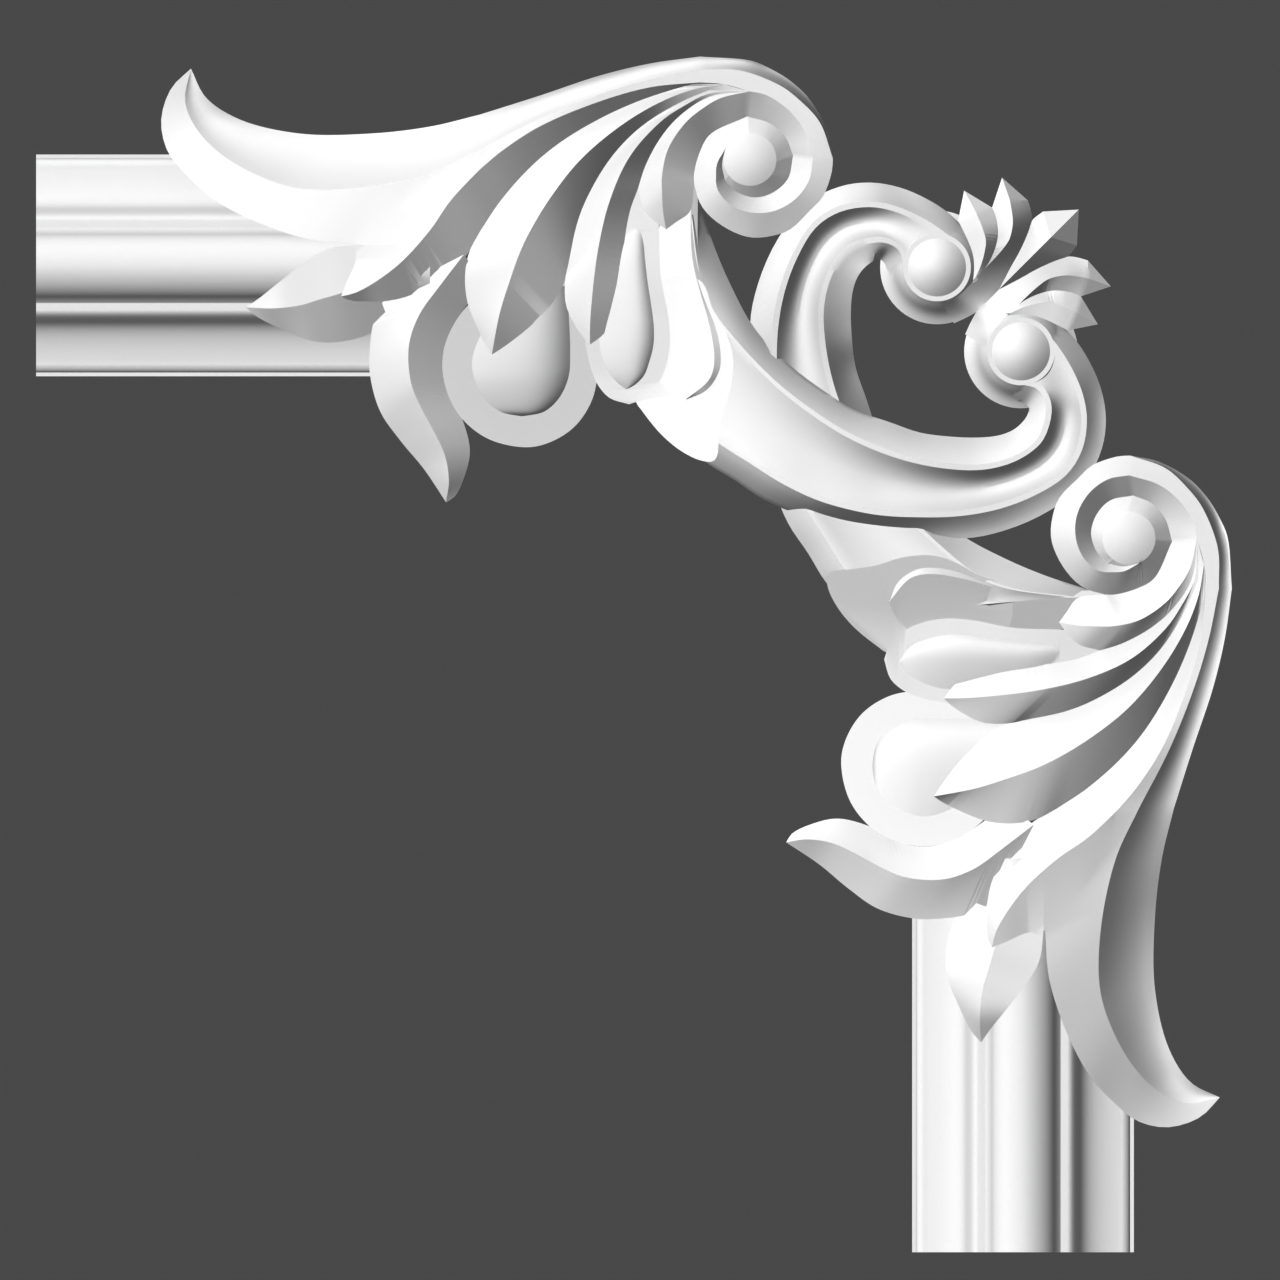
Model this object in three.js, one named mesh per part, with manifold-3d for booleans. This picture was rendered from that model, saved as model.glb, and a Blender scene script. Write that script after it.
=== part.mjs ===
// A corner for wall-panel moulding: two lengths of moulding meet under a pair of mirrored
// leaf sprays with scrolls, crossed stems that curl into a heart, and a five-leaf palmette.
// It is one plaster casting with a flat back. Units are millimetres, +Z is up, the front
// faces -Y and the back lies on the plane y = 0. The origin is on the back, on the corner's
// diagonal, where the two stems cross.
import * as THREE from "three";
import { mergeVertices } from "three/addons/utils/BufferGeometryUtils.js";
import Module from "manifold-3d";

// Driving dimensions of the carving.
const CARVING_SPAN = 268;
const CARVING_RELIEF = 28;

// Driving dimensions of the moulding's section, measured from its centre line or its back.
const MOULDING_WIDTH = 55.5;
const TORUS_RADIUS = 8.25;
const FILLET_START = 9.4;
const FILLET_WIDTH = 1.7;
const FILLET_HEIGHT = 13.5;
const ARRIS_WIDTH = 3.15;
const ARRIS_HEIGHT = 4.45;
const NOSE_WIDTH = 2.3;
const NOSE_HEIGHT = 3.45;
const EDGE_STRIP = 1;
const EDGE_HEIGHT = 1.4;
const STUB_LENGTH = 38.75;

// The carving is drawn on a grid of this many steps over its span, and its relief on a
// grid of this many steps over its depth. A point is [left of the crossing, above the
// crossing, height over the back].
const SPAN_STEPS = 1072;
const RELIEF_STEPS = 112;
const STEP = CARVING_SPAN / SPAN_STEPS;
const RISE = CARVING_RELIEF / RELIEF_STEPS;

// Places on the grid that more than one form uses: the moulding's centre line and its end
// under the leaves, and the tip of the long leaf, past which the bare stub shows.
const MOULDING_LINE = 219;
const MOULDING_START = 374;
const LEAF_TIP = 613;
const BALL_SEGMENTS = 16;

// The most that a panel is bent, as a share of its width.
const MOST_BEND = 0.25;

// Points nearer than this are one point: within a form, and where two forms meet.
const POINT_WELD = 0.001;
const SEAM_WELD = 0.02;

const wasm = await Module();
wasm.setup();

// A grid point in millimetres. The second spray is the first one mirrored in the diagonal.
function placed([left, up, height], mirrored) {
  const x = -left * STEP;
  const z = up * STEP;
  return mirrored ? [z, -height * RISE, x] : [x, -height * RISE, z];
}

// A closed surface as a solid: shared points are merged, and faces that a pointed end has
// shrunk to a line are dropped.
function solidFrom(points, triangles) {
  const geometry = new THREE.BufferGeometry();
  geometry.setAttribute("position", new THREE.Float32BufferAttribute(points.flat(), 3));
  geometry.setIndex(triangles.flat());
  return solidFromGeometry(geometry);
}

function solidFromGeometry(geometry) {
  geometry.deleteAttribute("normal");
  geometry.deleteAttribute("uv");
  const merged = welded(geometry, POINT_WELD);
  const vertProperties = new Float32Array(merged.attributes.position.array);
  const make = (triVerts) => new wasm.Manifold(
    new wasm.Mesh({ numProp: 3, vertProperties, triVerts: new Uint32Array(triVerts) }),
  );
  const faces = [...merged.index.array];
  const solid = make(faces);
  return solid.volume() > 0 ? solid : make(faces.reverse());
}

// The same surface with points nearer than a distance merged, and the faces that this
// shrinks to a line dropped.
function welded(geometry, distance) {
  const merged = mergeVertices(geometry, distance);
  const corners = merged.index.array;
  const kept = [];
  for (let i = 0; i < corners.length; i += 3) {
    const [a, b, c] = [corners[i], corners[i + 1], corners[i + 2]];
    if (a !== b && b !== c && c !== a) kept.push(a, b, c);
  }
  merged.setIndex(kept);
  return merged;
}

// Points along a smooth curve through the given ones: equal lengths apart, or in step with
// the given points.
function line(points, sections, inStep = false) {
  const curve = new THREE.CatmullRomCurve3(points.map((p) => new THREE.Vector3(...p)));
  const along = inStep ? curve.getPoints(sections) : curve.getSpacedPoints(sections);
  return along.map((p) => p.toArray());
}

function lines(rails, sections) {
  return rails.map((rail) => line(rail, sections));
}

// Lines end to end, each starting at the last point of the one before it.
function chained(first, ...rest) {
  return [...first, ...rest.flatMap((part) => part.slice(1))];
}

// A carved form between rails that run along it side by side, with as many points on each:
// its front is stretched from rail to rail, its sides and ends drop to the back. A panel
// between two rails can be hollowed (bend above 0) or rounded (below 0), which takes cuts;
// a bend is at most a share of the panel's own width, so it runs out where the panel does.
function relief(rails, { bends = [], cuts = 2, mirrored }) {
  const sections = rails[0].length - 1;
  const rows = [];
  for (let s = 0; s <= sections; s += 1) {
    const row = [];
    for (let r = 0; r < rails.length - 1; r += 1) {
      const from = rails[r][s];
      const to = rails[r + 1][s];
      const wanted = bends[r] ?? 0;
      const width = Math.hypot(...from.map((value, axis) => to[axis] - value));
      const bend = Math.sign(wanted) * Math.min(Math.abs(wanted), width * MOST_BEND);
      const panelCuts = wanted === 0 ? 1 : cuts;
      for (let c = 0; c < panelCuts; c += 1) {
        const share = c / panelCuts;
        const point = from.map((value, axis) => value + (to[axis] - value) * share);
        point[2] -= 4 * share * (1 - share) * bend;
        row.push(point);
      }
    }
    row.push(rails.at(-1)[s]);
    rows.push(row);
  }
  const columns = rows[0].length;
  const points = [];
  for (const row of rows) {
    for (const point of row) points.push(placed(point, mirrored));
    points.push(placed([row[0][0], row[0][1], 0], mirrored));
    points.push(placed([row.at(-1)[0], row.at(-1)[1], 0], mirrored));
  }
  const stride = columns + 2;
  const triangles = [];
  const quad = (a, b, c, d) => triangles.push([a, b, c], [a, c, d]);
  for (let s = 0; s < sections; s += 1) {
    const here = s * stride;
    const next = here + stride;
    for (let c = 0; c < columns - 1; c += 1) {
      quad(here + c, here + c + 1, next + c + 1, next + c);
    }
    const [footLeft, footRight] = [columns, columns + 1];
    quad(here + columns - 1, here + footRight, next + footRight, next + columns - 1);
    quad(here + footRight, here + footLeft, next + footLeft, next + footRight);
    quad(here + footLeft, here, next, next + footLeft);
  }
  for (const [row, turned] of [[0, false], [sections * stride, true]]) {
    const end = [];
    for (let c = 0; c < columns; c += 1) end.push(row + c);
    end.push(row + columns + 1);
    for (let c = 1; c < end.length; c += 1) {
      const face = [row + columns, end[c], end[c - 1]];
      triangles.push(turned ? face.reverse() : face);
    }
  }
  return solidFrom(points, triangles);
}

// A flat or tilted plate with a curved outline.
function plate(outline, heightAt, { sections, mirrored }) {
  const curve = new THREE.CatmullRomCurve3(
    outline.map(([left, up]) => new THREE.Vector3(left, up, 0)),
    true,
  );
  const loop = curve.getSpacedPoints(sections).slice(0, sections);
  if (THREE.ShapeUtils.isClockWise(loop)) loop.reverse();
  const faces = THREE.ShapeUtils.triangulateShape(
    loop.map((p) => new THREE.Vector2(p.x, p.y)),
    [],
  );
  const points = [
    ...loop.map((p) => placed([p.x, p.y, heightAt(p.x, p.y)], mirrored)),
    ...loop.map((p) => placed([p.x, p.y, 0], mirrored)),
  ];
  const count = loop.length;
  const triangles = [];
  for (const [a, b, c] of faces) {
    triangles.push([a, b, c], [count + c, count + b, count + a]);
  }
  for (let i = 0; i < count; i += 1) {
    const next = (i + 1) % count;
    triangles.push([i, count + i, count + next], [i, count + next, next]);
  }
  return solidFrom(points, triangles);
}

// A form turned about an axis that stands on the back: profile points are [radius, height].
function turned([left, up], profile, mirrored) {
  const closed = [[0, 0], [profile[0][0], 0], ...profile];
  const geometry = new THREE.LatheGeometry(
    closed.map(([radius, height]) => new THREE.Vector2(radius * STEP, height * RISE)),
    BALL_SEGMENTS,
  );
  geometry.rotateX(Math.PI);
  geometry.translate(...placed([left, up, 0], mirrored));
  return solidFromGeometry(geometry);
}

// A dome on the top of a turned form.
function domeProfile(radius, foot, top, points = 4) {
  const profile = [];
  for (let i = 0; i <= points; i += 1) {
    const share = 1 - i / points;
    profile.push([radius * share, foot + (top - foot) * (1 - share * share)]);
  }
  return profile;
}

// How far across and how far down each curve of the moulding's section its two control
// points lie, as shares of the curve's own width and fall: the ease from the half-round to
// the fillet, the arris under the fillet, and the cove.
const EASE_PULLS = [[0.29, 0.47], [0.7, 0.83]];
const ARRIS_PULLS = [[0.44, 0], [0.63, 0.4]];
const COVE_PULLS = [[0.113, 0.473], [0.328, 0.821]];

// The half-round turns this far down from its crown before it eases out.
const TORUS_TURN = (70 * Math.PI) / 180;

// Points along a falling curve, without its first one.
function falling(from, to, pulls, cuts) {
  const at = ([across, down]) => new THREE.Vector2(
    from[0] + (to[0] - from[0]) * across,
    from[1] + (to[1] - from[1]) * down,
  );
  const curve = new THREE.CubicBezierCurve(at([0, 0]), at(pulls[0]), at(pulls[1]), at([1, 1]));
  return curve.getPoints(cuts).slice(1).map((p) => p.toArray());
}

// Section of the moulding: a half-round that eases out to a fillet on each side, a rounded
// arris, a cove, a round nose and a thin edge.
function mouldingSection() {
  const half = MOULDING_WIDTH / 2;
  const nose = half - EDGE_STRIP;
  const right = [];
  const torusCuts = 6;
  for (let i = 0; i <= torusCuts; i += 1) {
    const turn = (i / torusCuts) * TORUS_TURN;
    right.push([TORUS_RADIUS * Math.sin(turn), FILLET_HEIGHT + TORUS_RADIUS * Math.cos(turn)]);
  }
  const fillet = [FILLET_START, FILLET_HEIGHT];
  const arris = [FILLET_START + FILLET_WIDTH, FILLET_HEIGHT];
  const cove = [arris[0] + ARRIS_WIDTH, arris[1] - ARRIS_HEIGHT];
  const noseTop = [nose - NOSE_WIDTH, NOSE_HEIGHT];
  right.push(...falling(right.at(-1), fillet, EASE_PULLS, 3), arris);
  right.push(...falling(arris, cove, ARRIS_PULLS, 4));
  right.push(...falling(cove, noseTop, COVE_PULLS, 6));
  const noseCuts = 4;
  for (let i = 1; i <= noseCuts; i += 1) {
    const turn = (i / noseCuts) * (Math.PI / 2);
    right.push([
      noseTop[0] + NOSE_WIDTH * Math.sin(turn),
      EDGE_HEIGHT + (NOSE_HEIGHT - EDGE_HEIGHT) * Math.cos(turn),
    ]);
  }
  right.push([half, EDGE_HEIGHT], [half, 0]);
  const left = right.slice(1).reverse().map(([across, off]) => [-across, off]);
  return new THREE.Shape([...left, ...right].map((p) => new THREE.Vector2(...p)));
}

// A length of moulding that ends square: x runs along the section, y off the back.
function moulding(mirrored) {
  const end = LEAF_TIP * STEP + STUB_LENGTH;
  const length = end - MOULDING_START * STEP;
  const geometry = new THREE.ExtrudeGeometry(mouldingSection(), {
    depth: length,
    steps: 1,
    bevelEnabled: false,
  });
  const points = geometry.getAttribute("position");
  for (let i = 0; i < points.count; i += 1) {
    const across = points.getX(i) + MOULDING_LINE * STEP;
    const off = points.getY(i);
    const along = points.getZ(i) - end;
    if (mirrored) points.setXYZ(i, across, -off, along);
    else points.setXYZ(i, along, -off, across);
  }
  return solidFromGeometry(geometry);
}

// Lines that two neighbouring forms share, so that their surfaces meet along them.
const SPRAY_ROOT = [104, 402, 100];
const RIDGE_JOINT = [80, 400, 100];
const SCROLL_TOP = [54, 393, 100];
const VALLEY_TOP = [57, 368, 77];
const SCROLL_FOOT = [110, 301, 74];
const SCROLL_END = [79, 335, 97];
const bandValley = line([[446, 241, 90], [410, 274, 92], [364, 302, 98], [324, 315, 103]], 3);
const spineRoot = line([
  [324, 315, 103], [304, 332, 104], [264, 358, 104], [204, 383, 102], [154, 397, 101],
  SPRAY_ROOT,
], 7);
const valleyAE = line([
  [324, 253, 76], [304, 283, 75], [274, 317, 75], [244, 342, 76], [204, 366, 78],
  [164, 384, 84], [124, 397, 92], SPRAY_ROOT,
], 8);
const valleyEF = line([
  [236, 219, 70], [227, 261, 70], [216, 289, 71], [193, 327, 74], [164, 357, 82],
  [124, 382, 94], RIDGE_JOINT,
], 8);
const valleyFG = line([
  [166, 296, 74], [159, 318, 74], [144, 346, 80], [124, 369, 90], [94, 388, 98], SCROLL_TOP,
], 6);
const valleyG = line([SCROLL_FOOT, [110, 311, 72], [104, 333, 72], [94, 350, 73], VALLEY_TOP], 6);

// Rails of the long leaf: its lower edge, its ridge and its outer edge.
const wingEdge = chained(
  line([
    [LEAF_TIP, 416, 8], [633, 396, 9], [643, 364, 12], [637, 334, 17], [620, 312, 28],
    [589, 284, 50], [544, 261, 68], [494, 245, 83], [446, 241, 90],
  ], 8),
  bandValley,
  spineRoot,
);
const wingRidge = chained(
  line([
    [LEAF_TIP, 416, 8], [619, 384, 9], [609, 358, 16], [584, 331, 35], [544, 308, 57],
    [504, 296, 71], [444, 297, 84], [374, 312, 94], [324, 335, 99],
  ], 11),
  line([[324, 335, 99], [264, 366, 102], [204, 390, 102], [154, 405, 101], [104, 415, 100]], 7),
);
const wingBack = chained(
  line([
    [LEAF_TIP, 416, 8], [598, 387, 10], [564, 365, 13], [504, 351, 19], [434, 351, 28],
    [374, 358, 50], [324, 370, 72],
  ], 11),
  line([[324, 370, 72], [264, 389, 85], [204, 409, 92], [154, 421, 91], [104, 428, 90]], 7),
);
const WING_HOLLOW = 8;

function longLeaf(mirrored) {
  return [relief([wingEdge, wingRidge, wingBack], { bends: [0, WING_HOLLOW], mirrored })];
}

// Rails of the four lobes under the long leaf, from each lobe's tip to its root: the free
// edge and the valley that it runs into, the ridge, and the valley on the other side.
const lobeA = [
  chained(
    line([[463, 188, 96], [458, 201, 96], [449, 221, 93], [446, 241, 90]], 3),
    bandValley,
    spineRoot,
  ),
  chained(
    line([
      [463, 188, 96], [450, 191, 100], [434, 199, 103], [404, 221, 106], [374, 254, 107],
      [354, 283, 106], [334, 305, 105], [324, 315, 103],
    ], 6),
    spineRoot,
  ),
  chained(
    line([
      [463, 188, 96], [454, 184, 90], [439, 183, 86], [421, 183, 84], [394, 189, 76],
      [364, 205, 74], [339, 227, 75], [324, 253, 76],
    ], 5),
    valleyAE,
  ),
];
const lobeE = [
  chained(
    line([
      [312, 130, 88], [318, 139, 78], [330, 164, 79], [337, 184, 80], [339, 209, 82],
      [335, 232, 80], [324, 253, 76],
    ], 5),
    valleyAE,
  ),
  line([
    [312, 130, 88], [310, 142, 92], [304, 172, 98], [294, 204, 103], [284, 232, 107],
    [274, 253, 109], [254, 286, 110], [224, 324, 108], [184, 358, 105], [144, 382, 102],
    [110, 395, 101], RIDGE_JOINT,
  ], 13),
  chained(
    line([
      [312, 130, 88], [304, 135, 84], [294, 142, 78], [274, 158, 72], [254, 178, 70],
      [239, 204, 69], [236, 219, 70],
    ], 5),
    valleyEF,
  ),
];
const lobeF = [
  chained(
    line([
      [214, 140, 78], [219, 145, 76], [229, 159, 76], [238, 179, 76], [239, 204, 75],
      [236, 219, 70],
    ], 4),
    valleyEF,
  ),
  line([
    [214, 140, 78], [214, 154, 83], [213, 174, 88], [206, 234, 97], [194, 284, 101],
    [174, 328, 102], [144, 362, 102], [124, 376, 101], [94, 391, 100], SCROLL_TOP,
  ], 12),
  chained(
    line([
      [214, 140, 78], [204, 147, 72], [194, 158, 67], [185, 174, 66], [181, 199, 70],
      [180, 239, 73], [174, 274, 72], [166, 296, 74],
    ], 6),
    valleyFG,
  ),
];
const lobeG = [
  chained(line([[138, 255, 78], [149, 263, 78], [160, 275, 77], [166, 296, 74]], 3), valleyFG),
  line([
    [138, 255, 78], [141, 274, 85], [142, 294, 92], [142, 308, 94], [136, 335, 97],
    [119, 361, 99], [104, 374, 100], [84, 386, 100], SCROLL_TOP,
  ], 9),
  chained(line([[138, 255, 78], [127, 263, 72], [114, 273, 70], SCROLL_FOOT], 3), valleyG),
];

function lobes(mirrored) {
  return [lobeA, lobeE, lobeF, lobeG].map((rails) => relief(rails, { mirrored }));
}

// Rails of the scroll: its rim turns down at the side, its ridge winds in round the ball,
// and from the valley behind the ridge the second turn rises to the ball.
const SCROLL_SIDE = [-29, 326, 98];
const scrollRim = line([
  [104, 415, 100], [64, 414, 100], [24, 399, 99], [4, 384, 99], [-16, 362, 99], SCROLL_SIDE,
], 8);
const scrollRimBack = line([
  [104, 428, 90], [54, 424, 80], [34, 416, 66], [14, 404, 58], [-6, 385, 55], [-22, 357, 62],
  SCROLL_SIDE,
], 8);
const scrollOuter = chained(
  scrollRim,
  line([
    SCROLL_SIDE, [-28, 313, 97], [-19, 288, 95], [-6, 274, 93], [14, 255, 89], [34, 248, 86],
    [54, 247, 85], [74, 254, 83], [94, 268, 81], [104, 281, 79], SCROLL_FOOT,
  ], 8),
);
const scrollRidge = chained(
  line([SPRAY_ROOT, RIDGE_JOINT, SCROLL_TOP], 2, true),
  line([SCROLL_TOP, [37, 389, 100], [14, 373, 100], [0, 354, 100], [-9, 325, 101]], 6),
  line([
    [-9, 325, 101], [-5, 304, 101], [9, 285, 101], [31, 273, 101], [54, 272, 101],
    [74, 280, 100], [86, 294, 99], [88, 303, 98],
  ], 8),
);
const scrollRidgeEnd = line([[88, 303, 98], [87, 320, 97], SCROLL_END], 2);
const scrollValley = chained(
  line([VALLEY_TOP, [34, 361, 79], [19, 348, 79], [11, 329, 78]], 6),
  line([
    [11, 329, 78], [16, 306, 78], [31, 292, 79], [49, 287, 79], [68, 293, 80], [79, 304, 84],
  ], 8),
);
const scrollValleyEnd = line([[79, 304, 84], [82, 319, 90], SCROLL_END], 2);
const SCROLL_BALL = [54, 325];
const SCROLL_BALL_RADIUS = 26.5;
const SCROLL_BALL_FOOT = 96;
const SCROLL_BALL_TOP = 102;
const secondTurn = chained(
  scrollRidgeEnd,
  line([
    SCROLL_END, [70, 341, 97], [54, 347, 97], [38, 341, 97], [32, 325, 97], [38, 309, 97],
    [54, 303, 97], [70, 309, 97], [76, 325, 97],
  ], 20),
);

function scroll(mirrored) {
  const topSections = 2;
  return [
    relief([scrollRim, scrollRimBack], { bends: [WING_HOLLOW], mirrored }),
    relief([scrollOuter.slice(0, topSections + 1), scrollRidge.slice(0, topSections + 1)],
      { mirrored }),
    relief([scrollOuter.slice(topSections), scrollRidge.slice(topSections), scrollValley],
      { mirrored }),
    relief([scrollRidgeEnd, scrollValleyEnd], { mirrored }),
    relief([chained(valleyG, scrollValley, scrollValleyEnd), secondTurn], { mirrored }),
    turned(SCROLL_BALL, domeProfile(SCROLL_BALL_RADIUS, SCROLL_BALL_FOOT, SCROLL_BALL_TOP),
      mirrored),
  ];
}

// The two lower leaves.
const arrowBack = [
  [558, 177, 56], [544, 187, 68], [524, 203, 84], [494, 226, 90], [474, 236, 92], [440, 240, 92],
];
const arrowRidge = [
  [558, 177, 56], [529, 176, 80], [504, 179, 86], [484, 185, 89], [463, 191, 92], [430, 202, 92],
];
const arrowEdge = [
  [558, 177, 56], [546, 167, 57], [524, 156, 60], [494, 144, 61], [471, 142, 58],
  [444, 147, 56], [414, 160, 56],
];
const hookBack = [
  [358, -18, 34], [380, 15, 36], [404, 44, 40], [424, 73, 46], [434, 109, 52],
  [434, 139, 58], [430, 164, 62], [421, 183, 64], [400, 200, 72],
];
const hookRidge = [
  [358, -18, 34], [355, 4, 52], [359, 29, 60], [370, 53, 66], [383, 77, 71],
  [393, 102, 77], [395, 139, 82], [385, 169, 85], [363, 200, 88], [340, 230, 88],
];
const hookEdge = [
  [358, -18, 34], [349, -12, 35], [339, 9, 37], [334, 34, 40], [342, 66, 44],
  [358, 96, 50], [362, 124, 55], [354, 153, 58], [336, 181, 60], [320, 200, 60],
];

function lowerLeaves(mirrored) {
  return [
    relief(lines([arrowBack, arrowRidge, arrowEdge], 9), { mirrored }),
    relief(lines([hookBack, hookRidge, hookEdge], 12), { mirrored }),
  ];
}

// The three drops that hang under the lobes, and the sheath that holds the stem.
const firstRimHeight = (left, up) => 66 - 0.1485 * (362 - left + (119 - up));
const firstRim = [
  [279, 37], [319, 47], [349, 75], [362, 119], [352, 157], [324, 189], [264, 205],
  [206, 195], [206, 154], [206, 114], [212, 84], [229, 58], [254, 42],
];
const firstDropBack = [
  [282, 68, 46], [304, 73, 57], [319, 85, 64], [329, 104, 69], [332, 122, 72],
  [328, 139, 74], [318, 159, 77], [304, 184, 80],
];
const firstDropEdge = [
  [282, 68, 46], [259, 73, 43], [244, 87, 43], [235, 108, 45], [233, 134, 48],
  [234, 169, 53], [238, 199, 60],
];
const secondRimBack = [
  [175, 80, 60], [194, 86, 60], [204, 96, 60], [210, 107, 60], [216, 127, 62],
  [219, 145, 64], [221, 174, 66], [214, 224, 70], [196, 270, 70], [184, 304, 70],
];
const secondRimEdge = [
  [175, 80, 60], [164, 84, 61], [153, 92, 62], [144, 104, 64], [137, 122, 66],
  [134, 144, 68], [136, 170, 70], [143, 207, 73], [145, 255, 73], [146, 304, 70],
];
const secondDropBack = [
  [178, 95, 62], [190, 105, 63], [197, 116, 64], [204, 137, 64], [204, 157, 63],
  [200, 194, 61], [192, 234, 60], [179, 284, 60],
];
const secondDropTop = [
  [178, 95, 62], [176, 99, 69], [172, 108, 74], [169, 124, 77], [168, 144, 78], [168, 184, 80],
  [168, 224, 80], [168, 284, 66],
];
const secondDropEdge = [
  [178, 95, 62], [170, 99, 62], [160, 109, 64], [155, 122, 66], [151, 137, 68],
  [150, 150, 70], [151, 166, 72], [157, 207, 76], [160, 240, 80], [158, 284, 82],
];
const thirdDropHeight = (left, up) => 86 + 0.2 * (99 - up) + 0.45 * (93 - left);
const THIRD_DROP_CHAMFER = 2.4;
const THIRD_DROP_WALL = 12;
const WALL_LEAN = 1.5;
const thirdDropBack = [
  [118, 85], [134, 93], [145, 104], [154, 124], [154, 150], [150, 204], [140, 304],
];
const thirdDropArris = [
  [118, 85], [98, 101], [93, 108], [90, 119], [90, 134], [93, 152], [97, 169], [102, 186],
  [107, 204], [111, 222], [113, 244], [113, 300],
];
const thirdDropEdge = [
  [118, 85], [104, 88], [96, 94], [89, 104], [84, 116], [83, 129], [84, 144], [87, 159],
  [97, 189], [104, 219], [106, 239], [106, 300],
];
const sheathHeight = (left, up) => 62 + 0.3 * (164 - left) + 0.17 * (79 - up);
const sheath = [
  [168, 82], [164, 76], [144, 51], [124, 34], [104, 24], [91, 23], [87, 28], [85, 46],
  [81, 72], [73, 99], [71, 127], [77, 149], [91, 175], [104, 204], [144, 204], [168, 144],
];

// The first drop: level at its outer side, then rounded over to its inner edge.
const FIRST_DROP_SHARES = [0, 0.5, 0.75, 0.9];
const FIRST_DROP_POWER = 5;

function firstDrop(mirrored) {
  const [back, edge] = lines([firstDropBack, firstDropEdge], 10);
  const crowned = FIRST_DROP_SHARES.map((share) => back.map((point, i) => {
    const fall = (edge[i][2] - point[2]) * share ** FIRST_DROP_POWER;
    const [left, up] = [0, 1].map((axis) => point[axis] + (edge[i][axis] - point[axis]) * share);
    return [left, up, point[2] + fall];
  }));
  return relief([...crowned, edge], { mirrored });
}

// The third drop: a tilted face with a chamfer along its inner edge.
function thirdDrop(mirrored) {
  const raised = (rail, drop) => rail.map(([left, up]) => [
    left, up, thirdDropHeight(left, up) - drop,
  ]);
  const [back, arris, edge] = lines(
    [raised(thirdDropBack, 0), raised(thirdDropArris, 0), raised(thirdDropEdge, THIRD_DROP_CHAMFER)],
    14,
  );
  const foot = towards(edge, arris, -WALL_LEAN).map(([left, up], i) => [
    left, up, edge[i][2] - THIRD_DROP_WALL,
  ]);
  return relief([back, arris, edge, foot], { mirrored });
}

function drops(mirrored) {
  return [
    plate(firstRim, firstRimHeight, { sections: 18, mirrored }),
    firstDrop(mirrored),
    relief(lines([secondRimBack, secondRimEdge], 12), { mirrored }),
    relief(lines([secondDropBack, secondDropTop, secondDropEdge], 10),
      { bends: [-1, -3], mirrored }),
    thirdDrop(mirrored),
    plate(sheath, sheathHeight, { sections: 20, mirrored }),
  ];
}

// Rails of a stem in the plan, from under the sheath to the eye of its curl, with one point
// on each rail at every station along the stem.
const stemOuterFoot = [
  [136, 79], [120, 44], [98, 22], [69, 4], [39, -16], [4, -30], [-31, -38], [-68, -42],
  [-111, -46], [-158, -54], [-201, -46], [-246, -26], [-281, 2], [-298, 36], [-302, 66],
  [-297, 96], [-286, 122], [-272, 144], [-254, 162],
];
const stemOuterFillet = [
  [128, 92], [110, 60], [84, 40], [54, 21], [24, 2], [-11, -15], [-44, -25], [-76, -31],
  [-113, -33], [-154, -32], [-194, -25], [-231, -11], [-262, 9], [-278, 34], [-283, 64],
  [-279, 90], [-267, 118], [-252, 141], [-236, 159],
];
const stemInnerFillet = [
  [112, 269], [104, 209], [91, 175], [64, 140], [29, 104], [-8, 75], [-41, 54], [-76, 38],
  [-111, 27], [-146, 21], [-176, 20], [-201, 25], [-220, 34], [-234, 47], [-242, 74],
  [-239, 88], [-232, 96], [-218, 100], [-206, 106],
];
const stemInnerFoot = [
  [104, 281], [92, 244], [74, 201], [48, 154], [14, 119], [-22, 92], [-52, 74], [-84, 63],
  [-116, 52], [-146, 48], [-174, 47], [-194, 49], [-208, 54], [-217, 61], [-223, 69],
  [-225, 76], [-222, 80], [-212, 84], [-200, 88],
];

// Each stem's height at every station, how far its sides fall from the fillets to their feet,
// and how far a side is hollowed (above 0) or rounded (below 0) halfway down.
const overStem = {
  heights: [
    44, 54, 62, 74, 82, 86, 88, 88, 87, 84, 81, 80, 79, 78, 78, 77, 76, 76, 76,
  ],
  outerFalls: [
    34, 40, 44, 44, 50, 52, 54, 48, 36, 27, 20, 13, 12, 16, 22, 32, 28, 28, 28,
  ],
  outerHollows: [
    -4, -4, -4, -4, -4, -2, 0, 0, 1, 3.3, 2.8, 1.9, 1.6, 1.6, 2.8, 2, 0, -1, -1,
  ],
  innerFalls: [
    34, 34, 34, 34, 36, 36, 38, 38, 38, 38, 38, 36, 34, 28, 23, 22, 28, 30, 30,
  ],
  innerHollows: [
    -3, -3, -3, -3, -3, -3, -3, -3, -3, -3, -3, -3, -3, -2, -2, -2, -2, -2, -2,
  ],
};
const underStem = {
  heights: [
    68, 66, 64, 60, 56, 52, 50, 50, 52, 58, 66, 72, 76, 78, 78, 77, 76, 76, 76,
  ],
  outerFalls: [
    29, 29, 29, 29, 29, 34, 40, 42, 36, 27, 20, 13, 12, 16, 22, 32, 28, 28, 28,
  ],
  outerHollows: [
    -2, -2, -2, -2, -2, -1, 0, 0, 1, 3.3, 2.8, 1.9, 1.6, 1.6, 2.8, 2, 0, -1, -1,
  ],
  innerFalls: [
    30, 30, 30, 30, 30, 30, 40, 44, 37, 20, 14, 10, 6, 5, 8, 30, 30, 30, 30,
  ],
  innerHollows: [
    0, 0, 0, 0, 0, 0, 0, 0, 4.7, 1.9, 1.6, 1.4, 1, 0.8, 1.2, 0, 0, 0, 0,
  ],
};
const channelDepths = [
  9, 9, 9, 10, 11, 13, 15, 18, 20, 24, 28, 26, 26, 26, 22, 14, 7, 3, 0,
];
const CHANNEL_SHARES = [0.2, 0.5, 0.8];
const SIDE_SHARES = [0, 0.5];
const FILLET_STEPS = 6;

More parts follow.
